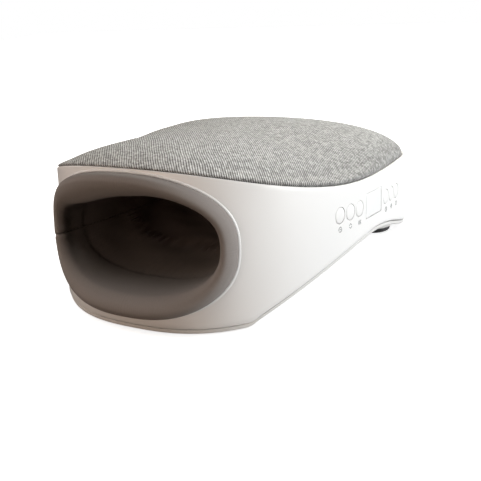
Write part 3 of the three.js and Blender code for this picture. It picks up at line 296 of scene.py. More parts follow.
@dataclass(frozen=True)
class Knit(Finish):
    """Fine stretch knit: rows of small loops over the foam, with a soft nap and a sewn seam, and for a
    lining, painted shade deeper in the pocket.
    """

    wale: float = 0.85
    relief: float = 0.05
    contrast: float = 0.12
    # Painted shade: the colour a lining darkens to deeper in the pocket, from fade_from over fade_over
    # millimetres
    painted_pocket_shade: Optional[Triple] = None
    fade_from: float = 84.0
    fade_over: float = 40.0
    seam_z: float = 31.3
    seam_slope: float = -0.1066
    seam_half: float = 0.55
    seam_depth: float = 8.0
    seam_share: float = 0.25
    seam_shade: float = 0.6
    stitch: float = 2.4
    stitch_length: float = 0.7
    loop_lean: float = 0.35
    loop_shares: Pair = (0.7, 0.3)
    nap_size: float = 1.1
    patch_size: float = 18.0
    relief_shares: Pair = (0.7, 0.6)
    colour_shares: Triple = (0.3, 0.5, 0.3)
    roughness: float = 0.9
    sheen: Pair = (0.04, 0.5)

    def material(self) -> bpy.types.Material:
        """Return the material."""
        tree = Tree(self.name)
        place = tree.place()
        along, across = tree.unwrapped()
        column = (along * (math.pi / self.wale)).sine().size()
        lean = (along * (TURN / self.wale)).sine() * self.loop_lean
        height = column * self.loop_shares[0] + (across / self.wale + lean).wave() * self.loop_shares[1]
        nap = tree.noise(place, self.nap_size, FINE)
        patch = tree.noise(place, self.patch_size)
        x, y, z = tree.axes(place)
        off = (z - (y * self.seam_slope + self.seam_z)).size() / self.seam_half
        sewn = (1.0 - off).clamped() * (x * -1.0).clamped()
        dash = ((y * (TURN / self.stitch)).sine() * 0.5 + self.stitch_length).clamped()
        tree.bump(height * self.relief_shares[0] + nap * self.relief_shares[1] - sewn * self.seam_depth,
                  self.relief)
        loops, fuzz, cloudy = self.colour_shares
        colour = tree.mix((height * loops + nap * fuzz + patch * cloudy).clamped(),
                          self.shade(1.0 - self.contrast), self.shade(1.0 + self.contrast))
        # The lining's own brown darkens into painted shade deeper in the hand pocket
        if self.painted_pocket_shade:
            colour = tree.mix(((y + self.fade_from) / self.fade_over).clamped(), colour, self.painted_pocket_shade)
        colour = tree.mix(sewn * dash * self.seam_shade, colour, self.shade(self.seam_share))
        return tree.surface(base_color=colour, roughness=self.roughness,
                            sheen_weight=self.sheen[0], sheen_roughness=self.sheen[1])


@dataclass(frozen=True)
class Foam(Finish):
    """Open-cell foam with pores, with painted shade in each pore."""

    pore: float = 0.9
    depth: float = 0.3
    pore_painted_shade: float = 0.7
    roughness: float = 0.97

    def material(self) -> bpy.types.Material:
        """Return the material."""
        tree = Tree(self.name)
        pores = tree.cells(tree.place(), self.pore).clamped()
        tree.bump(pores, self.depth)
        # Painted shade: each pore is darker towards its middle, where the bump sinks it
        return tree.surface(base_color=tree.mix(pores, self.shade(self.pore_painted_shade), self.colour),
                            roughness=self.roughness)


@dataclass(frozen=True)
class Metal(Finish):
    """Drawn or plated metal with fine lines."""

    roughness: float = 0.3
    drift: float = 0.15
    streaks: Triple = (0.15, 3.0, 3.0)
    depth: float = 0.01
    dull: float = 0.85

    def material(self) -> bpy.types.Material:
        """Return the material."""
        tree = Tree(self.name)
        drawn = (axis * share for axis, share in zip(tree.axes(tree.place()), self.streaks))
        lines = tree.noise(tree.point(*drawn), 1.0, FINE)
        tree.bump(lines, self.depth)
        return tree.surface(base_color=tree.mix(lines, self.shade(self.dull), self.colour), metallic=1.0,
                            roughness=self.roughness + self.drift * lines)


@dataclass(frozen=True)
class HeatFilm(Finish):
    """Film with a printed copper track that runs to and fro."""

    track: Triple
    pitch: float = 5.0
    spacing: float = 0.1
    depth: float = 0.05
    metal: float = 0.9
    roughness: float = 0.5
    shine: float = 0.2

    def material(self) -> bpy.types.Material:
        """Return the material."""
        tree = Tree(self.name)
        _, y, _ = tree.axes(tree.place())
        lines = (y * (TURN / self.pitch)).sine() > self.spacing
        tree.bump(lines, self.depth)
        return tree.surface(base_color=tree.mix(lines, self.colour, self.track), metallic=lines * self.metal,
                            roughness=self.roughness - self.shine * lines)


@dataclass(frozen=True)
class Board(Finish):
    """Circuit board: solder mask over copper tracks, with tinned pads."""

    pad: Triple
    pad_radius: float = 0.14
    pad_pitch: float = 3.4
    pad_metal: float = 0.8
    track_grid: Triple = (0.5, 0.35, 0.4)
    track_pitch: float = 2.6
    track_spread: float = 1.1
    track_shade: float = 1.45
    track_relief: float = 0.6
    relief: float = 0.04
    roughness: float = 0.38

    def material(self) -> bpy.types.Material:
        """Return the material."""
        tree = Tree(self.name)
        place = tree.place()
        steps = ((axis * share).floor() for axis, share in zip(tree.axes(place), self.track_grid))
        tracks = tree.cells(tree.point(*steps), self.track_pitch)
        pads = self.pad_radius - tree.cells(place, self.pad_pitch) > 0.0
        body = tree.mix((tracks * self.track_spread).clamped(), self.colour, self.shade(self.track_shade))
        tree.bump((tracks > 0.5) * self.track_relief + pads, self.relief)
        return tree.surface(base_color=tree.mix(pads, body, self.pad), metallic=pads * self.pad_metal,
                            roughness=self.roughness)


@dataclass(frozen=True)
class Film(Finish):
    """Soft welded film or tube, slightly cloudy, with weld texture."""

    roughness: float = 0.35
    drift: float = 0.12
    cloud: float = 6.0
    cloud_shade: float = 0.86
    weld: float = 2.4
    weld_depth: float = 0.12
    coat: float = 0.25

    def material(self) -> bpy.types.Material:
        """Return the material."""
        tree = Tree(self.name)
        place = tree.place()
        cloud = tree.noise(place, self.cloud, FINE)
        tree.bump(tree.noise(place, self.weld), self.weld_depth)
        return tree.surface(base_color=tree.mix(cloud, self.shade(self.cloud_shade), self.colour),
                            roughness=self.roughness + self.drift * cloud, coat_weight=self.coat)


@dataclass(frozen=True)
class Lens(Finish):
    """Glossy display window, backed in white, with faint clouds."""

    roughness: float = 0.16
    drift: float = 0.05
    cloud: float = 12.0
    cloud_shade: float = 0.97
    coat: Pair = (0.25, 0.1)

    def material(self) -> bpy.types.Material:
        """Return the material."""
        tree = Tree(self.name)
        cloud = tree.noise(tree.place(), self.cloud)
        return tree.surface(base_color=tree.mix(cloud, self.shade(self.cloud_shade), self.colour),
                            roughness=self.roughness + self.drift * cloud,
                            coat_weight=self.coat[0], coat_roughness=self.coat[1])


class Paint:
    """Makes each finish once and hands it out by its slot."""

    finishes = {
        "white_shell": Moulding("white_moulding", (0.83, 0.825, 0.82), 0.4),
        "base_plastic": Moulding("grey_base_moulding", (0.72, 0.712, 0.695), 0.56, 0.5, 0.03),
        "woven_fabric": Melange("grey_melange_twill", (0.745, 0.748, 0.735), (0.105, 0.103, 0.098)),
        "foam": Foam("open_cell_foam", (0.72, 0.68, 0.58)),
        "inner_plastic": Moulding("inner_moulding", (0.46, 0.465, 0.475), 0.6, 0.6, 0.03),
        "knit_fabric": Knit("taupe_knit", (0.228, 0.204, 0.191)),
        # The lining's last colour is painted shade deeper in the hand pocket
        "sleeve_fabric": Knit("brown_lining", (0.25, 0.222, 0.207), 0.6, 0.04, 0.15, (0.13, 0.1, 0.086)),
        "copper_film": HeatFilm("printed_heat_film", (0.55, 0.27, 0.06), (0.72, 0.38, 0.18)),
        "air_bag": Film("welded_air_bag", (0.42, 0.5, 0.58)),
        "node_plastic": Moulding("node_moulding", (0.58, 0.57, 0.55), 0.5, 0.4, 0.02),
        "display_lens": Lens("display_window", (0.93, 0.93, 0.93)),
        "black_plastic": Moulding("black_moulding", (0.03, 0.03, 0.032), 0.45, 0.4, 0.02, 0.2),
        "circuit_board": Board("circuit_board", (0.02, 0.13, 0.055), (0.7, 0.68, 0.62)),
        "steel": Metal("plated_steel", (0.62, 0.63, 0.64), 0.28),
        "rubber": Moulding("foot_rubber", (0.035, 0.035, 0.037), 0.8, 0.35, 0.04, 0.15),
        "cell_wrap": Film("cell_wrap", (0.05, 0.23, 0.42), 0.3),
        "hose": Film("soft_hose", (0.66, 0.68, 0.68), 0.3),
        "ink": Moulding("printed_grey_ink", (0.16, 0.16, 0.165), 0.6, 0.3, 0.005),
        "floor": Moulding("floor_paper", (0.9, 0.9, 0.9), 0.9, 2.0, 0.02, 0.004),
    }

    def __init__(self) -> None:
        """Start with no materials."""
        self.made = {}

    def of(self, slot: str) -> bpy.types.Material:
        """Return the material of a slot."""
        if slot not in self.made:
            self.made[slot] = self.finishes[slot].material()
        return self.made[slot]

    def dress(self, piece: Object, slot: str) -> None:
        """Give a piece the material of a slot, and no other."""
        piece.data.materials.clear()
        piece.data.materials.append(self.of(slot))
        LOG.info("%s: %d faces, %s", piece.name, len(piece.data.polygons), slot)


PAINT = Paint()


# Mesh making

def mixed(a: float, b: float, share: float) -> float:
    """Return the value a share of the way from a to b."""
    return a + (b - a) * share


def held(value: float, low: float = 0.0, high: float = 1.0) -> float:
    """Return a value kept between two limits."""
    return max(low, min(high, value))


def turns(count: int, start: float = 0.0) -> List[float]:
    """Return the angles of points spread evenly round a turn, the first at a share of a step."""
    return [TURN * (j + start) / count for j in range(count)]


def circle(radius: float, count: int) -> List[Pair]:
    """Return the points of a circle."""
    return [(radius * math.cos(t), radius * math.sin(t)) for t in turns(count)]


def polar(radius: float, degrees: float) -> Pair:
    """Return the point at a radius and an angle."""
    t = math.radians(degrees)
    return radius * math.cos(t), radius * math.sin(t)


def arc(radius: float, start: float, end: float, steps: int = 14) -> List[Pair]:
    """Return the points of an arc, with angles in degrees."""
    return [polar(radius, mixed(start, end, i / steps)) for i in range(steps + 1)]


def oval(half_width: float, half_height: float, squareness: float, angle: float) -> Pair:
    """Return the point of a superellipse at an angle."""
    c, s = math.cos(angle), math.sin(angle)
    power = 2.0 / squareness
    return (half_width * math.copysign(abs(c) ** power, c), half_height * math.copysign(abs(s) ** power, s))


def rounded(width: float, height: float, radius: float, steps: int = 6) -> List[Pair]:
    """Return the outline of a rounded rectangle."""
    outline = []
    for side_x, side_y, start in ((1, -1, -90.0), (1, 1, 0.0), (-1, 1, 90.0), (-1, -1, 180.0)):
        cx, cy = side_x * (width / 2 - radius), side_y * (height / 2 - radius)
        for x, y in (polar(radius, start + 90.0 * k / steps) for k in range(steps + 1)):
            outline.append((cx + x, cy + y))
    return outline


def over(x: float, y: float) -> Matrix:
    """Return the upright frame over a place on the table, in metres."""
    return Matrix.Translation(Vector((x, y, 0.0)) * MM)


class Maker:
    """Turns rings of points into closed skins, and joins and carves them."""

    @staticmethod
    def put(name: str, points: Sequence[Sequence[float]], faces: Sequence[Sequence[int]]) -> Object:
        """Make, link and smooth an object with these points, in metres, and faces."""
        mesh = bpy.data.meshes.new(name)
        mesh.from_pydata([tuple(p) for p in points], [], faces)
        mesh.update()
        made = bpy.data.objects.new(name, mesh)
        bpy.context.scene.collection.objects.link(made)
        Maker.smooth(made)
        return made

    @staticmethod
    def piece(name: str, points: Sequence[Vector], faces: Sequence[Sequence[int]],
              layout: Optional[Sequence[Sequence[Pair]]] = None) -> Object:
        """Make an object whose faces look outwards.

        Args:
            name: The piece's name.
            points: Its points, in metres.
            faces: Its faces, all turned the same way.
            layout: For each face, the flat place of each of its corners.

        Returns:
            The new object, linked and shaded smooth.
        """
        volume = sum(points[face[0]].dot(points[one].cross(points[two]))
                     for face in faces for one, two in zip(face[1:-1], face[2:]))
        way = -1 if volume < 0 else 1
        made = Maker.put(name, points, [face[::way] for face in faces])
        if layout:
            flat = made.data.uv_layers.new(name="flat")
            flat.data.foreach_set("uv", [c for corners in layout for place in corners[::way] for c in place])
        return made

    @staticmethod
    def smooth(piece: Object, degrees: float = 38.0) -> None:
        """Shade smooth, with creases where faces meet at more than this angle."""
        piece.data.shade_smooth()
        piece.data.set_sharp_from_angle(angle=math.radians(degrees))

    @staticmethod
    def loft(name: str, rings: Sequence[Ring], wrap: bool = False, flat: bool = False) -> Object:
        """Skin a row of closed rings.

        Args:
            name: The piece's name.
            rings: Rings of equal count, in metres.
            wrap: Join the last ring to the first instead of capping both.
            flat: Lay the skin out in metres along and across the rings.

        Returns:
            The new object.
        """
        count = len(rings[0])
        points = [p for ring in rings for p in ring]
        around = sum((rings[0][j] - rings[0][j - 1]).length for j in range(count))
        faces: List[List[int]] = []
        layout: List[List[Pair]] = []
        v1 = 0.0
        for i in range(len(rings) if wrap else len(rings) - 1):
            after = (i + 1) % len(rings)
            v0, v1 = v1, v1 + (rings[after][0] - rings[i][0]).length
            for j in range(count):
                k = (j + 1) % count
                faces.append([i * count + j, i * count + k, after * count + k, after * count + j])
                u0, u1 = j / count * around, (j + 1) / count * around
                layout.append([(u0, v0), (u1, v0), (u1, v1), (u0, v1)])
        for start, ring, way in ((0, rings[0], -1), ((len(rings) - 1) * count, rings[-1], 1)):
            if wrap:
                break
            points.append(sum(ring, Vector()) / count)
            for j in range(count):
                faces.append([start + i for i in (j, (j + 1) % count)][::way] + [len(points) - 1])
                layout.append([(0.0, 0.0), (MM, 0.0), (0.0, MM)])
        return Maker.piece(name, points, faces, layout if flat else None)

    @staticmethod
    def unroll(piece: Object, rings: Sequence[Ring]) -> None:
        """Lay a crowned skin out by true distances from its middle, as its cloth was cut.

        Args:
            piece: The skin, lofted through the rings.
            rings: Its rings from the middle outwards, in metres.
        """
        count = len(rings[0])
        middle = sum(rings[0], Vector()) / count
        places = [Vector((0.0, 0.0)) for _ in piece.data.vertices]
        for j in range(count):
            along, last = 0.0, middle
            for i, ring in enumerate(rings):
                along += (ring[j] - last).length
                last = ring[j]
                places[i * count + j] = (last - middle).to_2d().normalized() * along
        flat = piece.data.uv_layers.new(name="flat")
        flat.data.foreach_set("uv", [c for loop in piece.data.loops for c in places[loop.vertex_index]])

    @staticmethod
    def lathe(name: str, profile: Sequence[Pair], at: Matrix, count: int = 56) -> Object:
        """Turn a profile of radius and height, in millimetres, round the local Z axis."""
        return Maker.loft(name, [[at @ (Vector((x, y, height)) * MM) for x, y in circle(radius, count)]
                                 for radius, height in profile])

    @staticmethod
    def prism(name: str, outline: Sequence[Pair], levels: Sequence[Pair], at: Matrix) -> Object:
        """Stack an outline in millimetres at levels of (growth, height) on the local XY plane."""
        rings = []
        for grow, height in levels:
            shares = [(math.hypot(x, y) + grow) / math.hypot(x, y) for x, y in outline]
            rings.append([at @ (Vector((x * s, y * s, height)) * MM) for (x, y), s in zip(outline, shares)])
        return Maker.loft(name, rings)

    @staticmethod
    def extrude(name: str, outline: Sequence[Pair], ends: Sequence[float],
                put: Callable[..., Vector]) -> Object:
        """Draw an outline out between two ends, each point put in its place by a function of all three."""
        return Maker.loft(name, [[put(u, v, end) for u, v in outline] for end in ends])

    @staticmethod
    def join(name: str, parts: Sequence[Object]) -> Object:
        """Put several closed skins in one object and delete them."""
        points: List[Vector] = []
        faces: List[List[int]] = []
        for part in parts:
            start = len(points)
            points.extend(part.matrix_world @ v.co for v in part.data.vertices)
            faces.extend([start + i for i in face.vertices] for face in part.data.polygons)
        for part in parts:
            Maker.drop(part)
        return Maker.put(name, points, faces)

    @staticmethod
    def drop(part: Object) -> None:
        """Delete a working object."""
        mesh = part.data
        bpy.data.objects.remove(part)
        bpy.data.meshes.remove(mesh)

    @staticmethod
    def combine(piece: Object, tool: Object, how: str = "DIFFERENCE") -> None:
        """Apply one boolean with a tool, which is used up.

        Args:
            piece: The object that changes.
            tool: The object it is combined with.
            how: DIFFERENCE or UNION.
        """
        step = piece.modifiers.new("cut", "BOOLEAN")
        step.operation = how
        step.solver = "EXACT"
        step.object = tool
        bpy.context.view_layer.update()
        result = bpy.data.meshes.new_from_object(piece.evaluated_get(bpy.context.evaluated_depsgraph_get()))
        piece.modifiers.clear()
        before = piece.data
        piece.data = result
        result.name = piece.name
        bpy.data.meshes.remove(before)
        Maker.drop(tool)
        Maker.smooth(piece)

    @staticmethod
    def finish(piece: Object, slot: str, *nodes: str, body: str = "case") -> Object:
        """Dress a piece, let it ride a body and stand for CAD nodes."""
        PAINT.dress(piece, slot)
        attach(piece, body)
        if nodes:
            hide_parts(*nodes)
        return piece


# The case's form

@dataclass(frozen=True)
class Station:
    """A point of the case's outline with its outward direction."""

    x: float
    y: float
    nx: float
    ny: float


Stations = Sequence[Station]


@dataclass(frozen=True)
class CaseForm:
    """The egg-shaped case in its own upright frame, in millimetres, as the frame's solids have it."""

    half_width: float = 89.6
    front_length: float = 165.0
    rear_length: float = 59.5
    front_squareness: float = 2.57
    rear_squareness: float = 2.03
    rake: float = math.radians(6.1)
    table_z: float = 15.03
    shift: float = 53.472843
    wall: float = 2.4
    gap: float = 0.3
    rim_front: float = 78.9
    rim_waist: float = 60.2
    rim_rear: float = 63.7
    waist_y: float = -55.0
    rim_front_power: float = 2.2
    rim_rear_power: float = 1.4
    lean_front: float = 0.012
    lean_rear: float = -0.036
    sole: float = 1.0
    seam: float = 0.6
    base_wall: float = 2.2
    arch_rise: float = 17.8
    arch_y: float = -61.3
    arch_half: float = 82.0
    arch_front_power: float = 0.78
    arch_rear_power: float = 1.9
    turn_weight: float = 40.0
    half_steps: int = 1440

    def end(self, front: bool) -> Pair:
        """Return the length and the squareness of the front or the rear half."""
        if front:
            return self.front_length, self.front_squareness
        return self.rear_length, self.rear_squareness

    def plan(self, angle: float) -> Pair:
        """Return a point of the outline seen from above."""
        length, squareness = self.end(math.sin(angle) < 0)
        return oval(self.half_width, length, squareness, angle)

    def half_at(self, y: float) -> float:
        """Return half the width at a place along the case."""
        length, squareness = self.end(y < 0)
        return self.half_width * (1 - min(1.0, abs(y) / length) ** squareness) ** (1 / squareness)

    def stations(self, count: int) -> List[Station]:
        """Return points along the outline, closer together where it turns."""
        fine = [Vector(self.plan((i / self.half_steps - 0.5) * math.pi))
                for i in range(2 * self.half_steps + 1)]
        along = [0.0]
        for i in range(1, len(fine)):
            run = fine[i] - fine[i - 1]
            turn = 0.0
            if i > 1:
                before = fine[i - 1] - fine[i - 2]
                sine = (before.x * run.y - before.y * run.x) / (before.length * run.length)
                turn = abs(math.asin(held(sine, -1.0, 1.0)))
            along.append(along[-1] + run.length + self.turn_weight * turn)
        found: List[Station] = []
        i = 0
        for k in range(count):
            target = along[-1] * (k + 0.5) / count
            while along[i + 1] < target:
                i += 1
            point = fine[i].lerp(fine[i + 1], (target - along[i]) / (along[i + 1] - along[i]))
            run = (fine[i + 1] - fine[i]).normalized()
            found.append(Station(point.x, point.y, run.y, -run.x))
        return found

    def rim(self, y: float) -> float:
        """Return the height of the flowing rim."""
        if y < self.waist_y:
            share = min(1.0, (self.waist_y - y) / (self.waist_y + self.front_length))
            return self.rim_waist + (self.rim_front - self.rim_waist) * share ** self.rim_front_power
        share = min(1.0, (y - self.waist_y) / (self.rear_length - self.waist_y))
        return self.rim_waist + (self.rim_rear - self.rim_waist) * share ** self.rim_rear_power

    def arch(self, y: float) -> float:
        """Return how high the lower edge is scooped."""
        share = (y - self.arch_y) / self.arch_half
        power = self.arch_front_power if share < 0 else self.arch_rear_power
        return self.arch_rise * max(0.0, 1 - share * share) ** power

    def lean(self, y: float) -> float:
        """Return the wall's slant."""
        share = held(-y / self.front_length)
        return self.lean_front * share + self.lean_rear * (1 - share)

    def level(self, y: float, height: float) -> float:
        """Return the height in the case's frame of a level above the table."""
        return self.table_z + y * math.tan(self.rake) + height / math.cos(self.rake)

    def lower_edge(self, y: float) -> float:
        """Return the height of the wall's lower edge."""
        return self.level(y, self.sole + self.base_wall + self.seam) + self.arch(y)

    def turned(self, direction: Vector) -> Vector:
        """Return a direction of the case's frame in the row frame."""
        c, s = math.cos(self.rake), math.sin(self.rake)
        return Vector((direction.x, direction.y * c + direction.z * s, direction.z * c - direction.y * s))

    def world(self, x: float, y: float, z: float) -> Vector:
        """Return a point of the case's frame in metres in the row frame."""
        up = z - self.table_z
        c, s = math.cos(self.rake), math.sin(self.rake)
        return Vector((x, y * c + up * s + self.shift, up * c - y * s)) * MM

    def on_table(self, x: float, y: float, z: float) -> Vector:
        """Return a point measured on the table from the widest line, in metres in the row frame."""
        return Vector((x, y + self.shift, z)) * MM

    def wall_points(self, inset: float, height_at: Height, stations: Stations,
                    swell: Optional[Swell] = None) -> List[Vector]:
        """Return a ring round the wall in the case's frame, in millimetres."""
        ring = []
        for s in stations:
            first = height_at(s.y)
            depth = inset + self.lean(s.y) * (self.rim(s.y) - first)
            if swell:
                depth -= swell(s.x, s.y, first)
            y = s.y - s.ny * depth
            ring.append(Vector((s.x - s.nx * depth, y, height_at(y))))
        return ring

    def wall_ring(self, inset: float, height_at: Height, stations: Stations,
                  swell: Optional[Swell] = None) -> Ring:
        """Return a ring round the wall in the row frame, in metres."""
        return [self.world(*p) for p in self.wall_points(inset, height_at, stations, swell)]

    def front_face(self, x: float, z: float) -> float:
        """Return where the wall's outer face is at the front."""
        share = min(1.0, abs(x) / self.half_width)
        y = -self.front_length * (1 - share ** self.front_squareness) ** (1 / self.front_squareness)
        return y + self.lean(y) * (self.rim(y) - z)

    def right_wall(self, y: float, z: float) -> Vector:
        """Return a point of the right wall's outer face in the case's frame."""
        return Vector((self.half_at(y) - self.lean(y) * (self.rim(y) - z), y, z))

    def wall_axes(self, y: float, z: float) -> Tuple[Vector, Vector, Vector]:
        """Return the directions along, up and out of the right wall in the case's frame."""
        along = (self.right_wall(y + 0.5, z) - self.right_wall(y - 0.5, z)).normalized()
        up = Vector((0.0, 0.0, 1.0))
        return along, up, along.cross(up).normalized()

    def wall_matrix(self, y: float, z: float) -> Matrix:
        """Return the right wall's frame at a place, for local millimetres times MM."""
        made = Matrix([self.turned(axis) for axis in self.wall_axes(y, z)]).transposed().to_4x4()
        made.translation = self.world(*self.right_wall(y, z))
        return made

    def on_wall(self, y: float, z: float, u: float, v: float, out: float) -> Vector:
        """Return the point u along, v up and out from a place on the right wall, following its curve."""
        along, _, normal = self.wall_axes(y, z)
        return self.world(*(self.right_wall(y + along.y * u, z + v) + normal * out))


FORM = CaseForm()


# Sub-assemblies

class Sign(Enum):
    """The printed signs, in the buttons' order, each with its lines in millimetres."""

    MODE = (arc(1.3, 40, 200), arc(1.3, 220, 380), [(-0.5, 0.0), (0.5, 0.0)])
    PRESSURE = ([(-1.2, 0.3), (0.0, 1.3), (1.2, 0.3)], [(-1.2, -0.3), (0.0, -1.3), (1.2, -0.3)])
    HEAT = tuple([(x + 0.28 * math.sin(i * 1.05), -1.2 + i * 0.3) for i in range(9)]
                 for x in (-1.1, 0.0, 1.1))
    TIMER = (arc(1.3, 0, 360, 22), [(0.0, 0.8), (0.0, 0.0), (0.7, -0.3)])
    LIGHT = (arc(0.55, 0, 360, 16), *([polar(0.95, 45 * i), polar(1.5, 45 * i)] for i in range(8)))
    POWER = (arc(1.25, 125, 415, 20), [(0.0, 0.3), (0.0, 1.6)])


@dataclass(frozen=True)
class ControlRow:
    """Six round buttons and a display on the right wall, with printed marks under the buttons."""

    hole: float = 9.0
    hole_ease: float = 0.12
    hole_flare: float = 0.72
    hole_inset: float = 0.08
    hole_out: float = 0.6
    cut: Pair = (-10.0, 3.0)
    pitch: float = 9.8
    slope: float = -0.03
    row_z: float = 45.2
    display_y: float = -54.2
    display_length: float = 22.4
    display_height: float = 14.0
    display_corner: float = 1.0
    display_ease: float = 0.1
    display_levels: Tuple[Pair, ...] = ((0.3, -2.4), (0.7, -2.4), (1.0, -2.4), (1.0, -0.3), (0.994, -0.1),
                                        (0.98, 0.0), (0.85, 0.0), (0.6, 0.0), (0.3, 0.0))
    group_offset: float = 28.4
    flange_width: float = 9.2
    flange_height: float = 11.6
    flange: float = 1.0
    flange_corner: float = 1.2
    flange_ease: float = 0.15
    sink: float = 1.0
    dome: Tuple[Pair, ...] = ((1.0, -1.3), (0.0, -1.2), (0.0, -0.42), (0.06, -0.2), (0.22, -0.04),
                              (0.5, 0.05), (1.3, 0.12), (2.4, 0.17), (3.4, 0.19))
    stem: float = 3.6
    stem_into: float = 0.5
    stem_around: int = 32
    cap_around: int = 56
    stem_ease: float = 0.3
    board_length: float = 96.0
    board: float = 1.6
    setback: float = 6.2
    switch_height: float = 2.4
    travel: float = 0.8
    rest_gap: float = 0.1
    clearance: float = 0.3
    mark_drop: float = 7.4
    mark_width: float = 0.42
    mark_depth: Pair = (-0.03, 0.04)
    names: Tuple[str, ...] = ("mode_button", "pressure_button", "heat_button",
                              "timer_button", "light_button", "power_button")

    def height(self, y: float) -> float:
        """Return the row's height along the wall."""
        return self.row_z + self.slope * (y - self.display_y)

    def places(self) -> List[float]:
        """Return where each button is along the wall."""
        return [self.display_y + side * self.group_offset + step * self.pitch
                for side in (-1, 1) for step in (-1, 0, 1)]

    def hole_tools(self) -> List[Object]:
        """Return the tools that cut the row's holes, with eased edges."""
        r = self.hole / 2 - self.hole_inset
        profile = [(r, self.cut[0]), (r, -self.hole_ease), (r + self.hole_ease, 0.0),
                   (r + self.hole_flare, self.hole_out)]
        tools = [Maker.lathe("hole", profile, FORM.wall_matrix(y, self.height(y))) for y in self.places()]
        at = FORM.wall_matrix(self.display_y, self.height(self.display_y))
        outline = rounded(self.display_length, self.display_height, self.display_corner)
        return [*tools, Maker.prism("window", outline, [(0.0, end) for end in self.cut], at)]

    def board_plane(self) -> Tuple[Vector, Vector]:
        """Return a point of the control board's middle plane and its outward direction."""
        a, b = (Vector((FORM.half_at(y), y, self.height(y)))
                for y in (self.display_y - self.board_length / 2, self.display_y + self.board_length / 2))
        out = (b - a).normalized().cross(Vector((0.0, 0.0, 1.0))).normalized()
        return (a + b) / 2 - out * (FORM.wall + self.setback), out

    def stem_end(self, y: float, u: float, v: float) -> float:
        """Return how far out of the wall's face a button's stem ends, u along and v up from its middle."""
        middle, out = self.board_plane()
        reach = self.board / 2 + self.switch_height + self.travel + self.rest_gap
        along, up, normal = FORM.wall_axes(y, self.height(y))
        start = FORM.right_wall(y, self.height(y)) + along * u + up * v
        return (middle + out * reach - start).dot(out) / normal.dot(out)

    def rod(self, y: float, at: Matrix, back: float) -> Object:
        """Build a button's stem, its end cut level with the control board."""
        r, count = self.stem / 2, self.stem_around
        rings = [[at @ (Vector((u, v, lift + self.stem_end(y, u, v))) * MM)
                  for u, v in circle(radius, count)]
                 for radius, lift in ((r - self.stem_ease, 0.0), (r, self.stem_ease))]
        rings.append([at @ (Vector((u, v, back - self.stem_into)) * MM) for u, v in circle(r, count)])
        return Maker.loft("rod", rings)

    def button(self, name: str, y: float) -> Object:
        """Build one button: a domed cap that follows the wall, its flange and its stem."""
        z = self.height(y)
        at = FORM.wall_matrix(y, z)
        r = self.hole / 2 - self.clearance
        back = -FORM.wall - FORM.gap
        profile = [(r - self.sink, back - 0.2), *((r - inset, out) for inset, out in self.dome)]
        cap = Maker.loft("cap", [[FORM.on_wall(y, z, u, v, out) for u, v in circle(radius, self.cap_around)]
                                 for radius, out in profile])
        foot, ease = back - self.flange, self.flange_ease
        levels = [(-ease, foot), (0.0, foot + ease), (0.0, back - ease), (-ease, back)]
        outline = rounded(self.flange_width, self.flange_height, self.flange_corner, 4)
        flange = Maker.prism("flange", outline, levels, at)
        joined = Maker.join(f"{name}_cap", [cap, flange, self.rod(y, at, back)])
        return Maker.finish(joined, "white_shell", name, body=name)

    def window(self) -> Object:
        """Build the display window, flush with the wall."""
        y, z = self.display_y, self.height(self.display_y)
        outline = rounded(self.display_length - 2 * FORM.gap, self.display_height - 2 * FORM.gap,
                          self.display_corner - self.display_ease)
        rings = [[FORM.on_wall(y, z, u * share, v * share, out) for u, v in outline]
                 for share, out in self.display_levels]
        return Maker.finish(Maker.loft("display_lens", rings), "display_lens", "display_window")

    @staticmethod
    def ribbon(points: Sequence[Pair], width: float) -> List[List[Pair]]:
        """Return the quads of a line of some width through points."""
        sides = []
        for i, (x, y) in enumerate(points):
            before, after = points[max(0, i - 1)], points[min(len(points) - 1, i + 1)]
            run = Vector((after[0] - before[0], after[1] - before[1])).normalized()
            sides.append([(x - side * run.y * width / 2, y + side * run.x * width / 2) for side in (1, -1)])
        return [[*one, *two[::-1]] for one, two in zip(sides, sides[1:])]

    def marks(self) -> Object:
        """Print a small plain sign under each button."""
        points: List[Vector] = []
        faces: List[List[int]] = []
        for sign, y in zip(Sign, self.places()):
            for quad in (quad for line in sign.value for quad in self.ribbon(line, self.mark_width)):
                start = len(points)
                points.extend(FORM.on_wall(y, self.height(y), u, v - self.mark_drop, out)
                              for out in self.mark_depth for u, v in quad)
                sides = [(i, (i + 1) % 4, 4 + (i + 1) % 4, 4 + i) for i in range(4)]
                faces.extend([start + i for i in face] for face in ((3, 2, 1, 0), (4, 5, 6, 7), *sides))
        made = Maker.piece("control_marks", points, faces)
        PAINT.dress(made, "ink")
        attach(made, "case")
        return made

    def build(self) -> None:
        """Build the buttons, the window and the marks."""
        for name, y in zip(self.names, self.places()):
            self.button(name, y)
        self.window()
        self.marks()


CONTROLS = ControlRow()


@dataclass(frozen=True)
class Foot:
    """A pair of rubber feet: their place, radius, stand above the table and recess."""

    end: str
    x: float
    y: float
    r: float
    proud: float
    recess: float = 1.2


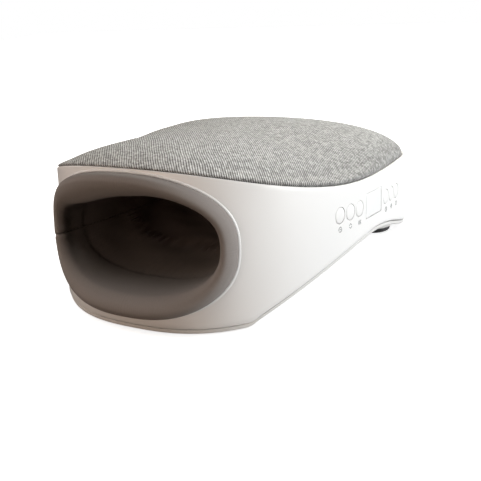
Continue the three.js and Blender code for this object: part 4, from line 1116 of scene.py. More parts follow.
@dataclass(frozen=True)
class Housing:
    """The moulded case: one flowing wall with its openings, and the base cover under it."""

    around: int = 288
    up: int = 26
    edge_insets: Pair = (1.4, 0.5)
    rim_inside: Tuple[Pair, ...] = ((0.5, 0.0), (0.1, 0.12), (0.0, 0.5))
    ledge_width: float = 3.6
    ledge_depth: float = 1.6
    panel_seat: float = 7.0
    round_edge: float = 0.7
    mouth_half_width: float = 47.0
    mouth_half_height: float = 27.0
    cuff_half_width: float = 52.4
    cuff_half_height: float = 35.9
    cuff_z: float = 41.7
    mouth_z: float = 42.9
    mouth_squareness: float = 2.47
    mouth_cut: Pair = (-200.0, -120.0)
    lip: Triple = (-0.35, 0.6, 0.85)
    lip_foot: float = -1.2
    swell: float = 0.45
    swell_reach: float = 6.0
    swell_behind: float = -90.0
    swell_radius: float = 42.0
    setback: float = 0.6
    chamfer: float = 0.9
    seat: float = 2.0
    scallop_start: float = 45.0
    scallop_power: float = 1.2
    sole_shares: Tuple[float, ...] = (0.985, 0.96, 0.93, 0.9, 0.86, 0.82, 0.78, 0.74, 0.7, 0.66, 0.62, 0.58,
                                      0.54, 0.5, 0.4, 0.28, 0.14)
    sole_around: int = 216
    front_foot: Foot = Foot("front", 33.0, -133.85, 8.0, 1.0)
    rear_foot: Foot = Foot("rear", 72.0, 0.65, 10.5, 3.4)
    foot_collar: Pair = (1.5, 4.0)
    tread: Tuple[Pair, ...] = ((4.2, 0.15), (3.9, 0.0), (2.6, 0.0), (2.3, 0.25), (1.9, 0.25), (1.6, 0.0),
                               (0.75, 0.0), (0.25, 0.2), (0.0, 0.75))
    tread_hub: Pair = (0.6, 0.15)
    foot_ease: float = 0.2
    vent: Triple = (26.0, -42.85, 10.0)
    slot: Tuple[Pair, ...] = tuple(rounded(3.0, 18.0, 1.49, 8))
    post_r: float = 3.0
    board_posts: Triple = (40.0, 11.15, 42.15)
    board_z: float = 26.7
    frame_posts: Triple = (22.0, -120.85, -72.85)
    frame_z: float = 10.8
    cradles: Pair = (-44.0, -3.0)
    cradle_width: float = 3.0
    cradle_half: float = 12.0
    cradle_low: float = 2.2
    cradle_r: Pair = (13.5, 12.2)
    pump_y: float = -12.85
    pump_z: float = 19.4
    pump_change: float = -29.0
    socket: Triple = (9.7, 4.2, 30.6)
    socket_cut: Pair = (47.0, 75.0)
    screw_stations: Pair = (-118.0, 42.0)
    boss_inset: float = 8.0
    boss_height: float = 14.0
    boss_r: float = 4.4
    boss_hole: float = 1.7
    boss_lift: float = 3.2
    boss_ease: float = 0.2
    rib: Pair = (6.8, 0.8)
    rib_reach: Pair = (3.0, 12.0)
    head_r: float = 2.9
    shank_r: float = 1.4
    head: float = 1.8
    well_wall: Tuple[Pair, ...] = ((4.4, 0.5), (4.5, 0.6), (4.5, 5.3), (4.4, 5.4))
    well_reach: Pair = (-8.0, 9.0)
    thread_start: float = 0.4
    thread_pitch: float = 0.8
    thread_depth: float = 0.3
    thread_turns: int = 9
    screw_around: int = 40
    screw_tip: Pair = (0.2, 10.0)
    cross: Pair = (3.2, 0.7)
    below: float = -5.0
    ease: float = 0.15
    ease_height: float = 0.5

    def mouth_swell(self, x: float, y: float, z: float) -> float:
        """Return how far the wall flares out towards the cuff's edge."""
        if y > self.swell_behind:
            return 0.0
        p = self.mouth_squareness
        reach = (abs(x) / self.cuff_half_width) ** p + (abs(z - self.cuff_z) / self.cuff_half_height) ** p
        distance = max(0.0, reach ** (1 / p) - 1.0) * self.swell_radius
        fade = held((FORM.rim(y) - z) / 5.0) * held((z - FORM.lower_edge(y)) / 4.0)
        return self.swell * math.exp(-(distance / self.swell_reach) ** 2) * fade

    def wall(self) -> Object:
        """Build the side wall and carve the mouth, the row of controls and the socket."""
        stations = FORM.stations(self.around)
        low, rim, wall, r = FORM.lower_edge, FORM.rim, FORM.wall, self.round_edge
        ease, start = self.ease, self.ease_height
        rows: List[Tuple[float, Height, bool]] = [(inset, low, False) for inset in (wall, *self.edge_insets)]
        rows += [(ease, lambda y: low(y) + ease, True), (0.0, lambda y: low(y) + start, True)]
        rows += [(0.0, lambda y, f=k / self.up: mixed(low(y) + start, rim(y) - r, f), True)
                 for k in range(1, self.up)]
        rows += [(r * (1 - math.cos(t)), lambda y, s=math.sin(t): rim(y) - r + r * s, True)
                 for t in (math.radians(22.5 * k) for k in range(5))]
        rows += [(wall - inset, lambda y, f=drop: rim(y) - f, False)
                 for inset, drop in self.rim_inside]
        rows += [(inset, lambda y, f=drop: rim(y) - self.panel_seat - FORM.gap - f, False)
                 for inset, drop in ((wall, 0.0), (wall + self.ledge_width, 0.0),
                                     (wall + self.ledge_width, self.ledge_depth), (wall, self.ledge_depth))]
        rings = [FORM.wall_ring(inset, height, stations, self.mouth_swell if bulged else None)
                 for inset, height, bulged in rows]
        shell = Maker.loft("case_wall", rings, wrap=True)
        tools = [self.mouth_tool(), self.socket_tool(), *CONTROLS.hole_tools()]
        Maker.combine(shell, Maker.join("openings", tools))
        bosses = [self.boss(at, turn) for at, turn in self.screw_places()]
        joined = Maker.join("case_shell", [shell, self.bead(), *bosses])
        return Maker.finish(joined, "white_shell", "side_shell")

    def bead(self) -> Object:
        """Build the rounded lip that stands round the cuff."""
        inner, outer, proud = self.lip
        middle, half = (inner + outer) / 2, (outer - inner) / 2
        profile = [(-outer, self.lip_foot)]
        profile += [(-middle - half * math.cos(t), 0.5 * proud + 0.5 * proud * math.sin(t))
                    for t in (math.pi * k / 8 for k in range(9))]
        profile += [(-inner, self.lip_foot)]
        rings = [[FORM.world(*POCKET.cuff_point(t, inset, out)) for t in turns(240, 0.5)]
                 for inset, out in profile]
        return Maker.loft("bead", rings, wrap=True)

    def mouth_tool(self) -> Object:
        """Return the tool that opens the front for the hand."""
        outline = [oval(self.mouth_half_width, self.mouth_half_height, self.mouth_squareness, t)
                   for t in turns(160)]
        return Maker.extrude("mouth", outline, self.mouth_cut,
                             lambda x, z, y: FORM.world(x, y, self.mouth_z + z))

    def socket_tool(self) -> Object:
        """Return the tool that opens the rear for the charging socket."""
        width, height, z = self.socket
        outline = rounded(width, height, height / 2 - 0.01, 8)
        return Maker.extrude("socket", outline, self.socket_cut, lambda u, v, y: FORM.on_table(u, y, z + v))

    def screw_places(self) -> List[Tuple[Vector, float]]:
        """Return each screw's place on the table and the turn of its boss towards the wall."""
        places = []
        for y in self.screw_stations:
            run = Vector((FORM.half_at(y + 0.5) - FORM.half_at(y - 0.5), 1.0)).normalized()
            inset = self.boss_inset + FORM.lean(y) * (FORM.rim(y) - FORM.lower_edge(y))
            in_y = y + run.x * inset
            for side in (-1, 1):
                x = side * (FORM.half_at(y) - run.y * inset)
                at = FORM.world(x, in_y, FORM.level(in_y, FORM.sole) + self.scallop(x, in_y)) / MM
                places.append((at, math.atan2(-run.x, side * run.y)))
        return places

    def boss(self, at: Vector, turn: float) -> Object:
        """Build one screw boss with the rib that ties it to the wall."""
        low = at.z + FORM.base_wall + self.boss_lift + FORM.gap
        high = low + self.boss_height
        r, hole, ease = self.boss_r, self.boss_hole, self.boss_ease
        post = Maker.lathe("post", [(hole, low), (r - ease, low), (r, low + ease), (r, high), (hole, high)],
                           over(at.x, at.y), 32)
        place = over(at.x, at.y) @ Matrix.Rotation(turn, 4, "Z")
        length, half = self.rib
        outline = [(0.0, -half), (length, -half), (length, half), (0.0, half)]
        rib = Maker.extrude("rib", outline, [low + rise for rise in self.rib_reach],
                            lambda u, v, z: place @ (Vector((u, v, z)) * MM))
        return Maker.join("boss", [post, rib])

    def scallop(self, x: float, y: float) -> float:
        """Return how far the underside is scooped up for the fingers."""
        edge = FORM.half_at(y) - FORM.wall - self.seat
        share = held((abs(x) - self.scallop_start) / max(1.0, edge - self.scallop_start))
        return FORM.arch(y) * share ** self.scallop_power

    def edge_ring(self, inset: float, level: float, stations: Stations) -> Ring:
        """Return a ring of the underside's border, which follows the scoop."""
        return FORM.wall_ring(inset, lambda y: FORM.level(y, level) + FORM.arch(y), stations)

    def sole_ring(self, share: float, level: float, stations: Stations) -> Ring:
        """Return a ring of the underside at a share of the way out."""
        ring = []
        for p in FORM.wall_points(FORM.wall + self.seat,
                                  lambda y: FORM.level(y, FORM.sole) + FORM.arch(y), stations):
            x, y = p.x * share, FORM.arch_y + (p.y - FORM.arch_y) * share
            ring.append(FORM.world(x, y, FORM.level(y, level) + self.scallop(x, y)))
        return ring

    def upright(self, x: float, y: float, r: float, z0: float, z1: float, count: int = 48) -> Object:
        """Return an upright post measured on the table, with eased ends."""
        e = self.ease
        profile = [(r - e, z0), (r, z0 + e), (r, z1 - e), (r - e, z1)]
        return Maker.lathe("post", profile, Matrix.Translation(FORM.on_table(x, y, 0.0)), count)

    def well(self, at: Vector, profile: Sequence[Pair]) -> Object:
        """Turn a profile round a screw's axis, with heights measured from the screw's place."""
        return Maker.lathe("well", [(r, at.z + rise) for r, rise in profile], over(at.x, at.y),
                           self.screw_around)

    def sole(self) -> Object:
        """Build the scooped sole as one skin."""
        stations = FORM.stations(self.sole_around)
        shares = self.sole_shares
        low, c, back, seat = FORM.sole, self.chamfer, self.setback, FORM.wall + self.seat
        top = low + FORM.base_wall
        rings = [self.sole_ring(share, low, stations) for share in reversed(shares)]
        rings += [self.edge_ring(inset, level, stations) for inset, level in (
            (seat, low), (back + c + 0.8, low), (back + c, low), (back + 0.3 * c, low + 0.3 * c),
            (back, low + c), (back, top - 0.3), (back + 0.3, top), (seat, top))]
        rings += [self.sole_ring(share, top, stations) for share in shares]
        return Maker.loft("base_skin", rings)

    def base(self) -> Object:
        """Build the base cover: scooped sole, foot wells, screw wells, vents and posts."""
        cover = self.sole()
        front, rear, gap, top = self.front_foot, self.rear_foot, FORM.gap, FORM.sole + FORM.base_wall
        screws = [at for at, _ in self.screw_places()]
        grow, rise = self.foot_collar
        added = [self.upright(side * rear.x, rear.y, rear.r + grow, rear.proud,
                              rear.proud + FORM.base_wall + rise) for side in (-1, 1)]
        added += [self.well(at, self.well_wall) for at in screws]
        Maker.combine(cover, Maker.join("added", added), "UNION")
        tools = []
        vent_x, vent_y, pitch = self.vent
        for side in (-1, 1):
            tools += [self.upright(side * foot.x, foot.y, foot.r + gap, self.below,
                                   foot.proud + foot.recess + gap) for foot in (front, rear)]
            tools += [Maker.extrude("slot", self.slot, (self.below, 6.0),
                                    lambda u, v, z, x=side * vent_x + x: FORM.on_table(x + u, vent_y + v, z))
                      for x in (-pitch, 0.0, pitch)]
        r, s = self.head_r + gap, self.shank_r + gap
        low, high = self.well_reach
        for at in screws:
            seat = at.z + self.head + gap
            tools.append(Maker.lathe("well", [(r, at.z + low), (r, seat), (s, seat), (s, at.z + high)],
                                     over(at.x, at.y), self.screw_around))
        Maker.combine(cover, Maker.join("wells", tools))
        x, *ys = self.board_posts
        posts = [self.upright(side * x, y, self.post_r, top - 1.0, self.board_z, 24)
                 for side in (-1, 1) for y in ys]
        x, *ys = self.frame_posts
        posts += [self.upright(side * x, y, self.post_r, top - 1.0,
                               POCKET.underside(x + self.post_r, y, self.frame_z), 24)
                  for y in ys for side in (-1, 1)]
        posts += [self.cradle(x) for x in self.cradles]
        return Maker.finish(Maker.join("base_skin", [cover, *posts]), "base_plastic", "base_cover")

    def cradle(self, x: float) -> Object:
        """Build one rib that is hollowed to carry the pump."""
        motor_r, head_r = self.cradle_r
        radius = (motor_r if x < self.pump_change else head_r) + FORM.gap
        saddle = [(v, self.pump_z + z) for v, z in reversed(arc(radius, 220, 320, 10))]
        half, low, high = self.cradle_half, self.cradle_low, self.pump_z - 3.0
        outline = [(half, low), (half, high), *saddle, (-half, high), (-half, low)]
        return Maker.extrude("cradle", outline, (x, x + self.cradle_width),
                             lambda v, z, u: FORM.on_table(u, self.pump_y + v, z))

    def feet(self) -> None:
        """Build the four rubber feet with a ringed sole."""
        for foot in (self.front_foot, self.rear_foot):
            r, top, ease = foot.r, foot.proud + foot.recess, self.foot_ease
            profile = [self.tread_hub, *((r - inset, height) for inset, height in self.tread),
                       (r, top - ease), (r - ease, top), (self.tread_hub[0], top)]
            for name, side in (("left", -1), ("right", 1)):
                node = f"{foot.end}_{name}_foot"
                at = Matrix.Translation(FORM.on_table(side * foot.x, foot.y, 0.0))
                Maker.finish(Maker.lathe(f"{node}_pad", profile, at, 72), "rubber", node)

    def screws(self) -> None:
        """Build the base screws with their cross recess."""
        profile = [(0.4, 0.0), (2.0, 0.02), (2.5, 0.18), (self.head_r, 0.6), (self.head_r, self.head),
                   (self.shank_r, self.head)]
        for turn in range(self.thread_turns):
            z = self.head + self.thread_start + turn * self.thread_pitch
            profile += [(self.shank_r - self.thread_depth, z), (self.shank_r, z + self.thread_depth)]
        profile += [self.screw_tip]
        for i, (at, _) in enumerate(self.screw_places(), 1):
            place = Matrix.Translation(at * MM)
            screw = Maker.lathe("screw", profile, place, self.screw_around)
            for width, height in (self.cross, self.cross[::-1]):
                outline = rounded(width, height, 0.25, 3)
                Maker.combine(screw, Maker.prism("arm", outline, [(0.0, -1.0), (0.0, 1.0)], place))
            screw.name = f"base_screw_{i}_head"
            Maker.finish(screw, "steel", f"base_screw_{i}")

    def build(self) -> None:
        """Build the wall, the base cover, the feet and the screws."""
        self.wall()
        self.base()
        self.feet()
        self.screws()


@dataclass(frozen=True)
class PaddedTop:
    """The crowned top: woven cloth pulled over foam on a panel, its edge tucked inside the rim."""

    crown: float = 24.2
    crown_y: float = -38.0
    crown_power: float = 0.65
    rear_power: float = 0.51
    around: int = 288
    inner_around: int = 144
    rows: int = 54
    row_power: float = 2.1
    least_share: float = 0.02
    cloth: float = 1.0
    foam: float = 2.2
    layer_gap: float = 0.5
    panel: float = 1.6
    edge_drop: float = 0.2
    hem: float = 0.9888
    foam_share: float = 0.974
    flange: Pair = (0.983, 0.965)
    seat: float = 7.0
    puff: Pair = (3.2, 0.6)
    puff_share: float = 0.012
    puff_start: float = 0.6

    def ring(self, drop: float, share: float, stations: Stations, stuffed: bool = False) -> Ring:
        """Return a ring of the crown, drop under its surface, stuffed out over the rim or not."""
        near = (1.0 - share) / self.puff_share
        out = near * math.exp(1.0 - near) if stuffed else 0.0
        fade = 1 - share * share
        inset = FORM.wall + FORM.gap
        ring = []
        for p, q in zip(*(FORM.wall_points(depth, FORM.rim, stations) for depth in (inset, 0.0))):
            rear = held((p.y - FORM.waist_y) / -FORM.waist_y + self.puff_start)
            at = p.lerp(q, out * mixed(*self.puff, rear) / inset)
            edge = p.z * (1 - fade) + FORM.rim(self.crown_y) * fade
            rise = self.crown * fade ** mixed(self.crown_power, self.rear_power, rear)
            y = self.crown_y + (at.y - self.crown_y) * share
            ring.append(FORM.world(at.x * share, y, edge + rise - drop))
        return ring

    def level_ring(self, drop: float, share: float, stations: Stations) -> Ring:
        """Return a ring that keeps level with the rim, for an edge that is turned down."""
        return [FORM.world(p.x * share, self.crown_y + (p.y - self.crown_y) * share, p.z - drop)
                for p in FORM.wall_points(FORM.wall + FORM.gap, FORM.rim, stations)]

    def shares(self, outer: float) -> List[float]:
        """Return the rings' shares from the edge inwards, closest at the edge."""
        found = [math.sqrt(1 - (k / self.rows) ** self.row_power) * outer for k in range(self.rows)]
        return [share for share in found if share > self.least_share]

    def cover(self) -> Object:
        """Build the cloth, with its edge turned down inside the rim."""
        stations = FORM.stations(self.around)
        shares = self.shares(1.0)
        under = self.edge_drop + self.cloth
        low = under + self.layer_gap + self.foam
        rings = [self.ring(self.edge_drop, share, stations, True) for share in reversed(shares)]
        rings += [self.level_ring(drop, share, stations) for drop, share in (
            (0.8, 1.0), (2.0, 1.0), (low - 0.2, 0.9995), (low, 0.998), (low, self.hem))]
        rings += [self.ring(under, share, stations) for share in (self.hem, self.foam_share)]
        rings += [self.ring(under, share * self.foam_share, stations) for share in shares[2::2]]
        piece = Maker.loft("top_cloth", rings)
        Maker.unroll(piece, rings)
        Maker.finish(piece, "woven_fabric", "top_fabric")
        return piece

    def padding(self) -> Object:
        """Build the foam under the cloth."""
        stations = FORM.stations(self.inner_around)
        top = self.edge_drop + self.cloth + self.layer_gap
        shares = self.shares(self.foam_share)[::2]
        rings = [self.ring(top, share, stations) for share in reversed(shares)]
        rings += [self.ring(top + self.foam, share, stations) for share in shares]
        piece = Maker.finish(Maker.loft("foam_pad", rings), "foam", "top_foam")
        return piece

    def board(self) -> Object:
        """Build the panel, whose turned-down edge stands on the case's ledge."""
        stations = FORM.stations(self.inner_around)
        top = self.edge_drop + self.cloth + 2 * self.layer_gap + self.foam
        outer, inner = self.flange
        rings = [self.ring(top, share, stations) for share in reversed(self.shares(outer)[::2])]
        rings += [self.level_ring(self.seat, share, stations) for share in self.flange]
        rings += [self.ring(top + self.panel, share, stations) for share in self.shares(inner)[::2]]
        return Maker.finish(Maker.loft("top_board", rings), "inner_plastic", "top_panel")

    def build(self) -> None:
        """Build the cloth, the foam and the panel."""
        self.cover()
        self.padding()
        self.board()


def bell(value: float, middle: float, width: float) -> float:
    """Return 1 at the middle, falling away smoothly over a width."""
    return math.exp(-((value - middle) / width) ** 2)


@dataclass(frozen=True)
class HandPocket:
    """The stuffed cuff, the lining behind it, and the bags and film wrapped round the lining."""

    mouth_half_width: float = 51.7
    mouth_half_height: float = 35.2
    mouth_z: float = 41.7
    throat_z: float = 42.9
    squareness: float = 2.47
    proud: float = 7.6
    sag: float = 6.2
    sag_angle: float = math.radians(118.0)
    sag_spread: float = math.radians(32.0)
    cuff_wall: float = 2.7
    cuff_steps: int = 6
    cuff_start: Pair = (0.35, 0.1)
    cuff_line: Tuple[Triple, ...] = ((0.0, 0.2, 0.0), (0.0, 0.5, 0.0), (0.09, 0.84, 0.0),
                                     (0.32, 1.0, 0.0), (0.6, 0.82, 0.4), (0.84, 0.25, 0.8))
    neck: Pair = (1.1, 1.0)
    throat_sag: float = 0.3
    turn_in: float = 0.35
    crest: Pair = (0.42, 0.15)
    softness: float = 0.22
    soft_waves: Triple = (5.0, 0.6, 9.0)
    soft_place: Pair = (0.6, 0.3)
    soft_ends: Pair = (12.0, 30.0)
    seam_angle: float = math.radians(183.0)
    seam_radius: float = 47.0
    seam_sink: Pair = (0.75, 0.9)
    seam_swell: Pair = (0.25, 3.2)
    throat_half_width: float = 44.0
    throat_half_height: float = 24.0
    throat_y: float = -142.0
    end_y: float = -46.0
    end_half_width: float = 38.0
    end_half_height: float = 17.0
    end_z: float = 47.0
    end_depth: float = 5.0
    lining: float = 1.0
    end_lining: float = -0.6
    bag_depth: float = 7.4
    folds: Triple = (0.9, 0.8, 0.6)
    fold_start: float = 2.5
    deepest_fold: float = 2.4
    gathers: float = 46.0
    gather_depth: float = 0.75
    gather_place: Pair = (0.4, 0.05)
    tuck: float = 0.4
    tuck_reach: float = 9.0
    end_outside: Tuple[Pair, ...] = ((0.0, 0.3), (0.0, 0.62), (0.8, 0.8), (2.2, 0.92))
    end_inside: Tuple[Pair, ...] = ((3.0, 0.9), (1.8, 0.78), (1.0, 0.6), (1.0, 0.28))
    around: int = 200
    pocket_around: int = 160
    pocket_rows: int = 48
    pad_ends: Pair = (8.0, 2.0)
    pad_power: int = 6
    baffles: float = 4.0
    baffle_depth: float = 0.14
    pad_rows: int = 26
    pad_columns: int = 40
    port_r: float = 1.6
    port_line: Tuple[Pair, ...] = ((0.0, 0.0), (0.0, 10.4), (0.15, 11.0), (0.0, 11.8), (0.0, 13.7),
                                   (-0.15, 14.0))
    port_around: int = 24

    def along(self, y: float) -> float:
        """Return the share of the way from the throat to the pocket's end."""
        return held((y - self.throat_y) / (self.end_y - self.throat_y))

    def section(self, y: float) -> Triple:
        """Return the pocket's half width, half height and middle height at a place along it."""
        share = self.along(y)
        return (mixed(self.throat_half_width, self.end_half_width, share),
                mixed(self.throat_half_height, self.end_half_height, share),
                mixed(self.throat_z, self.end_z, share))

    def around_point(self, y: float, angle: float, grow: float) -> Triple:
        """Return a point round the pocket, grow millimetres out from it, in the case's frame."""
        half_width, half_height, middle = self.section(y)
        x, up = oval(half_width + grow, half_height + grow, self.squareness, angle)
        return x, y, middle + up

    def cuff_point(self, angle: float, inset: float, proud: float) -> Vector:
        """Return a point of the cuff's roll, in the case's frame."""
        width = self.mouth_half_width - self.throat_half_width
        taper = (self.mouth_half_height - self.throat_half_height) / width
        x, up = oval(self.mouth_half_width - inset, self.mouth_half_height - inset * taper,
                     self.squareness, angle)
        z = mixed(self.mouth_z, self.throat_z, held(inset / width)) + up
        return Vector((x, FORM.front_face(x, z) - proud, z))

    def throat_point(self, angle: float, grow: float) -> Vector:
        """Return a point of the cuff's inner end, in the case's frame."""
        return Vector(self.around_point(self.throat_y, angle, grow))

    def neck_point(self, angle: float, grow: float, proud: float) -> Vector:
        """Return a point of the cuff where it passes through the wall, in the case's frame."""
        x, _, z = self.around_point(self.throat_y, angle, grow)
        return Vector((x, FORM.front_face(x, z) - proud, z))

    def roll(self, angle: float) -> List[Vector]:
        """Return the cuff's section at an angle, from the wall over the roll to the throat."""
        width = self.mouth_half_width - self.throat_half_width
        low = Vector((0.0, 0.0, -self.sag * bell(angle, self.sag_angle, self.sag_spread)))
        grow, sink = self.neck
        neck = self.neck_point(angle, grow, -FORM.wall - sink) + low
        throat = self.throat_point(angle, 0.0) + low * self.throat_sag
        line = [self.cuff_point(angle, *self.cuff_start)]
        line += [self.cuff_point(angle, inset * width, proud * self.proud) + low * sunk
                 for inset, proud, sunk in self.cuff_line]
        return [*line, neck, neck.lerp(throat, 0.5), throat]

    @staticmethod
    def curve(points: Sequence[Vector], steps: int) -> List[Vector]:
        """Return a smooth line through points, with steps between each two."""
        found: List[Vector] = []
        ends = [points[0] * 2 - points[1], *points, points[-1] * 2 - points[-2]]
        for before, a, b, after in zip(ends, ends[1:], ends[2:], ends[3:]):
            gap = (b - a).length
            first = (b - before) / max(1e-6, gap + (a - before).length) * gap
            last = (after - a) / max(1e-6, (after - b).length + gap) * gap
            for t in (k / steps for k in range(steps)):
                found.append(a * (2 * t ** 3 - 3 * t ** 2 + 1) + first * (t ** 3 - 2 * t ** 2 + t)
                             + b * (3 * t ** 2 - 2 * t ** 3) + last * (t ** 3 - t ** 2))
        return [*found, points[-1]]

    def stuffing(self, angle: float, share: float) -> float:
        """Return how far the cuff's skin bulges at a share of its section, less where the seam is sewn."""
        lobes, start, ripples = self.soft_waves
        soft = (self.softness * math.sin(angle * lobes + start) * math.sin(share * ripples)
                * bell(share, *self.soft_place))
        sink, swell = (amount * bell((angle - self.seam_angle) * self.seam_radius, 0.0, wide)
                       for amount, wide in (self.seam_sink, self.seam_swell))
        first, last = self.soft_ends
        return (soft - sink + swell) * held(share * first) * held((1.0 - share) * last)

    def cuff(self) -> Object:
        """Build the stuffed cuff with its seam."""
        columns = []
        middle = Vector((0.0, 0.0, self.throat_z))
        for angle in turns(self.around, 0.5):
            line = self.curve(self.roll(angle), self.cuff_steps)
            worked = []
            for i, p in enumerate(line):
                share = i / (len(line) - 1)
                inward = Vector((middle.x - p.x, 0.0, middle.z - p.z)).normalized()
                outward = -inward if share < self.turn_in else inward
                front = bell(share, *self.crest)
                facing = (outward * (1 - front) + Vector((0.0, -1.0, 0.0)) * front).normalized()
                worked.append(p + facing * self.stuffing(angle, share))
            columns.append([*worked, self.throat_point(angle, self.cuff_wall - FORM.gap),
                            self.neck_point(angle, self.cuff_wall, -FORM.wall),
                            self.neck_point(angle, self.cuff_wall, FORM.gap)])
        rings = [[FORM.world(*p) for p in ring] for ring in zip(*columns)]
        piece = Maker.loft("hand_cuff", rings, wrap=True, flat=True)
        Maker.finish(piece, "knit_fabric", "mouth_cuff")
        return piece

    def fold(self, angle: float, y: float) -> float:
        """Return how far the lining hangs in soft folds at a place, in millimetres inwards."""
        share = self.along(y)
        first = math.sin(angle * 3.0 + share * 7.0) * math.sin(share * 11.0 + angle)
        second = 0.5 * math.sin(angle * 7.0 - share * 13.0 + 2.0) * math.sin(share * 19.0)
        wave = math.sin(angle * self.gathers + 1.7 * math.sin(angle * 9.0))
        gathered = self.gather_depth * wave * bell(share, *self.gather_place)
        level, large, small = self.folds
        depth = level + large * first + small * second + gathered
        return held(depth, 0.0, self.deepest_fold) * held(share * self.fold_start)

    def ring(self, y: float, grow: float, squeeze: float = 1.0, folds: bool = False) -> Ring:
        """Return a ring of the pocket."""
        half_width, half_height, middle = self.section(y)
        ring = []
        for angle in turns(self.pocket_around, 0.5):
            depth = self.fold(angle, y) if folds else 0.0
            x, up = oval((half_width + grow - depth) * squeeze, (half_height + grow - depth) * squeeze,
                         self.squareness, angle)
            ring.append(FORM.world(x, y, middle + up))
        return ring

    def pocket(self) -> Object:
        """Build the lining as one closed pocket."""
        front, end = self.throat_y + FORM.gap, self.end_y + self.end_depth
        ys = [mixed(front, self.end_y, k / self.pocket_rows) for k in range(self.pocket_rows + 1)]
        rings = [self.ring(end - back, self.lining, squeeze) for back, squeeze in self.end_outside]
        rings += [self.ring(y, self.lining) for y in reversed(ys[::4])]
        rings += [self.ring(y, self.tuck * held(1 - (y - front) / self.tuck_reach), folds=True) for y in ys]
        rings += [self.ring(end - back, self.end_lining, squeeze) for back, squeeze in self.end_inside]
        piece = Maker.loft("pocket_lining", rings, flat=True)
        Maker.finish(piece, "sleeve_fabric", "hand_sleeve")
        mouth = self.ring(front, 0.0)
        return piece

    def pad(self, name: str, slot: str, node: str, angles: Pair, low: float, high: float,
            rim: float) -> Object:
        """Build a bag or film: two skins welded at the edge, fuller towards the middle.

        Args:
            name: The piece's name.
            slot: Its finish.
            node: The CAD node it stands for.
            angles: Where it starts and ends round the pocket, in degrees.
            low: Its inner skin's distance from the pocket.
            high: Its outer skin's distance where it is fullest.
            rim: The welded edge's thickness.

        Returns:
            The piece.
        """
        y0, y1 = self.throat_y + self.pad_ends[0], self.end_y - self.pad_ends[1]
        rows, columns, p = self.pad_rows, self.pad_columns, self.pad_power
        points = []
        for outer in (True, False):
            for i in range(rows + 1):
                for j in range(columns + 1):
                    a, b = i / rows, j / columns
                    fill = (max(0.0, 1 - abs(2 * a - 1) ** p) * max(0.0, 1 - abs(2 * b - 1) ** p)) ** 0.5
                    ripple = abs(math.sin(a * math.pi * self.baffles))
                    baffle = 1 - self.baffle_depth + self.baffle_depth * ripple
                    level = low + rim + (high - low - rim) * fill * baffle if outer else low
                    place = self.around_point(mixed(y0, y1, a), math.radians(mixed(*angles, b)), level)
                    points.append(FORM.world(*place))
        at = lambda i, j, side: side * (rows + 1) * (columns + 1) + i * (columns + 1) + j
        faces = []
        for i in range(rows):
            for j in range(columns):
                corners = ((i, j), (i, j + 1), (i + 1, j + 1), (i + 1, j))
                faces.append([at(*corner, 0) for corner in corners])
                faces.append([at(*corner, 1) for corner in (corners[0], *corners[:0:-1])])
        edge = ([(0, j) for j in range(columns)] + [(i, columns) for i in range(rows)]
                + [(rows, j) for j in range(columns, 0, -1)] + [(i, 0) for i in range(rows, 0, -1)])
        for one, two in zip(edge, [*edge[1:], edge[0]]):
            faces.append([at(*one, 0), at(*one, 1), at(*two, 1), at(*two, 0)])
        return Maker.finish(Maker.piece(name, points, faces), slot, node)

    def underside(self, x: float, y: float, grow: float) -> float:
        """Return the height above the table of the pocket's underside, grow millimetres out from it."""
        half_width, half_height, middle = self.section(y)
        share = held(1 - (abs(x) / (half_width + grow)) ** self.squareness) ** (1 / self.squareness)
        return FORM.world(x, y, middle - (half_height + grow) * share).z / MM

    def port(self, name: str, degrees: float) -> Object:
        """Build a bag's air nipple."""
        r = self.port_r
        x, y, z = self.around_point(self.end_y - 2.0, math.radians(degrees), self.bag_depth - r - 0.4)
        rings = [[FORM.world(x + u, y - 3.0 + along, z + v) for u, v in circle(r + grow, self.port_around)]
                 for grow, along in self.port_line]
        return Maker.loft(name, rings)

    def build(self) -> None:
        """Build the cuff, the lining, the film and the bags."""
        self.cuff()
        self.pocket()
        self.pad("heating_sheet", "copper_film", "heat_film", (38.0, 142.0), 1.3, 1.8, 0.3)
        for name, node, angles, low, port in (("upper_bag", "upper_air_bag", (22.0, 158.0), 2.1, 60.0),
                                              ("lower_bag", "lower_air_bag", (206.0, 334.0), 4.0, 300.0)):
            self.pad(f"{name}_skin", "air_bag", node, angles, low, self.bag_depth, 0.5)
            Maker.finish(self.port(f"{name}_nipple", port), "air_bag")


POCKET = HandPocket()


@dataclass(frozen=True)
class Inside:
    """The working parts that keep their CAD shape and get a finish."""

    slots: Tuple[Tuple[str, str], ...] = (
        ("node_plastic", "massage_nodes"),
        ("inner_plastic", "upper_frame lower_frame pump_head air_manifold battery_tray"),
        ("black_plastic", "display_module"),
        ("circuit_board", "control_board main_board"),
        ("steel", "pump_motor pump_eccentric valve_body_1 valve_body_2 valve_plunger_1 valve_plunger_2"),
        ("steel", "charging_socket"),
        ("cell_wrap", "battery_cell_1 battery_cell_2"),
        ("hose", "pump_hose lower_bag_hose upper_bag_hose"))

    def build(self) -> None:
        """Dress each node."""
        for slot, names in self.slots:
            for name in names.split():
                PAINT.dress(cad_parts[name], slot)


@dataclass(frozen=True)
class Lamp:
    """A soft round light: its place in metres, width, watts and colour."""

    name: str
    place: Triple
    width: float
    watts: float
    colour: Triple


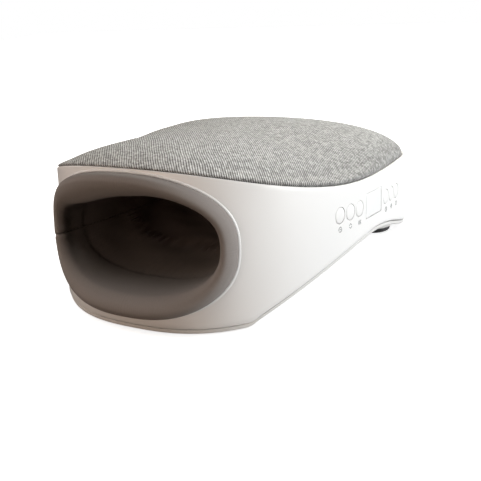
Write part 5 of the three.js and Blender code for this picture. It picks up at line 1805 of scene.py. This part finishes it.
@dataclass(frozen=True)
class Studio:
    """White floor, soft lights and the camera at the photograph's angle."""

    place: Triple = (0.193505, -0.35844, 0.16835)
    forward: Triple = (-0.4326, 0.8200, -0.3749)
    right: Triple = (0.8923, 0.4514, 0.0)
    target: Triple = (0.0, 0.0, 0.04)
    roll: float = -0.0238
    lens: float = 53.19
    sensor: float = 36.0
    glow: float = 0.8
    half_floor: float = 1.2
    lights: Tuple[Lamp, ...] = (
        Lamp("right_low", (1.6, 0.1, 0.1), 0.5, 20.5, (0.96, 1.0, 0.98)),
        Lamp("rear_right", (1.5, 0.7, 0.15), 0.6, 22.0, (0.98, 0.97, 1.0)),
        Lamp("rear", (0.2, 1.6, 0.8), 1.2, 37.0, (1.0, 0.99, 0.93)),
        Lamp("left", (-1.5, -0.2, 0.8), 1.0, 7.0, (1.0, 0.95, 0.94)),
        Lamp("above", (0.1, -0.5, 1.8), 1.0, 8.0, (1.0, 0.93, 0.86)),
        Lamp("front", (-0.2, -1.6, 0.2), 1.0, 9.0, (1.0, 0.76, 0.62)),
        Lamp("front_left", (-0.9, -1.3, 0.3), 0.8, 2.0, (1.0, 0.9, 0.75)))

    def camera(self) -> None:
        """Set up the camera."""
        made = bpy.data.objects.new("camera", bpy.data.cameras.new("camera"))
        made.data.lens = self.lens
        made.data.sensor_width = self.sensor
        made.data.clip_start = 0.01
        forward = Vector(self.forward).normalized()
        right = FORM.turned(Vector(self.right))
        right = (right - forward * right.dot(forward)).normalized()
        up = right.cross(forward)
        c, s = math.cos(self.roll), math.sin(self.roll)
        right, up = right * c + up * s, up * c - right * s
        turned = Matrix((right, up, -forward)).transposed().to_4x4()
        made.matrix_world = Matrix.Translation(self.place) @ turned
        bpy.context.scene.collection.objects.link(made)
        bpy.context.scene.camera = made

    def hang(self, lamp: Lamp) -> None:
        """Hang one light that looks at the object."""
        data = bpy.data.lights.new(lamp.name, "AREA")
        data.shape = "DISK"
        data.size = lamp.width
        data.energy = lamp.watts
        data.color = lamp.colour
        made = bpy.data.objects.new(lamp.name, data)
        made.location = lamp.place
        made.rotation_euler = (Vector(self.target) - Vector(lamp.place)).to_track_quat("-Z", "Y").to_euler()
        made.visible_camera = False
        bpy.context.scene.collection.objects.link(made)

    def floor(self) -> None:
        """Lay the pale floor."""
        half = self.half_floor
        corners = [(-half, -half, 0.0), (half, -half, 0.0), (half, half, 0.0), (-half, half, 0.0)]
        made = Maker.put("floor", corners, [[0, 1, 2, 3]])
        PAINT.dress(made, "floor")
        shader = next(node for node in PAINT.of("floor").node_tree.nodes if node.type == "BSDF_PRINCIPLED")
        shader.inputs["Specular IOR Level"].default_value = 0.0
        shader.inputs["Emission Color"].default_value = (1.0, 1.0, 1.0, 1.0)
        shader.inputs["Emission Strength"].default_value = self.glow
        made.visible_diffuse = False
        made.visible_glossy = False

    def build(self) -> None:
        """Set up the floor, the lights, the camera and the white behind them."""
        self.camera()
        self.floor()
        for lamp in self.lights:
            self.hang(lamp)
        world = bpy.data.worlds.new("studio")
        world.use_nodes = True
        background = world.node_tree.nodes["Background"]
        background.inputs[0].default_value = (1.0, 1.0, 1.0, 1.0)
        background.inputs[1].default_value = 1.0
        world.cycles_visibility.diffuse = False
        world.cycles_visibility.glossy = False
        bpy.context.scene.world = world
        bpy.context.scene.view_settings.view_transform = "Standard"


def main() -> None:
    """Build each sub-assembly in order."""
    logging.basicConfig(level=logging.INFO, format="%(message)s")
    for part in (Studio(), Housing(), PaddedTop(), POCKET, CONTROLS, Inside()):
        part.build()
    bpy.context.view_layer.update()


if __name__ == "__main__":
    main()
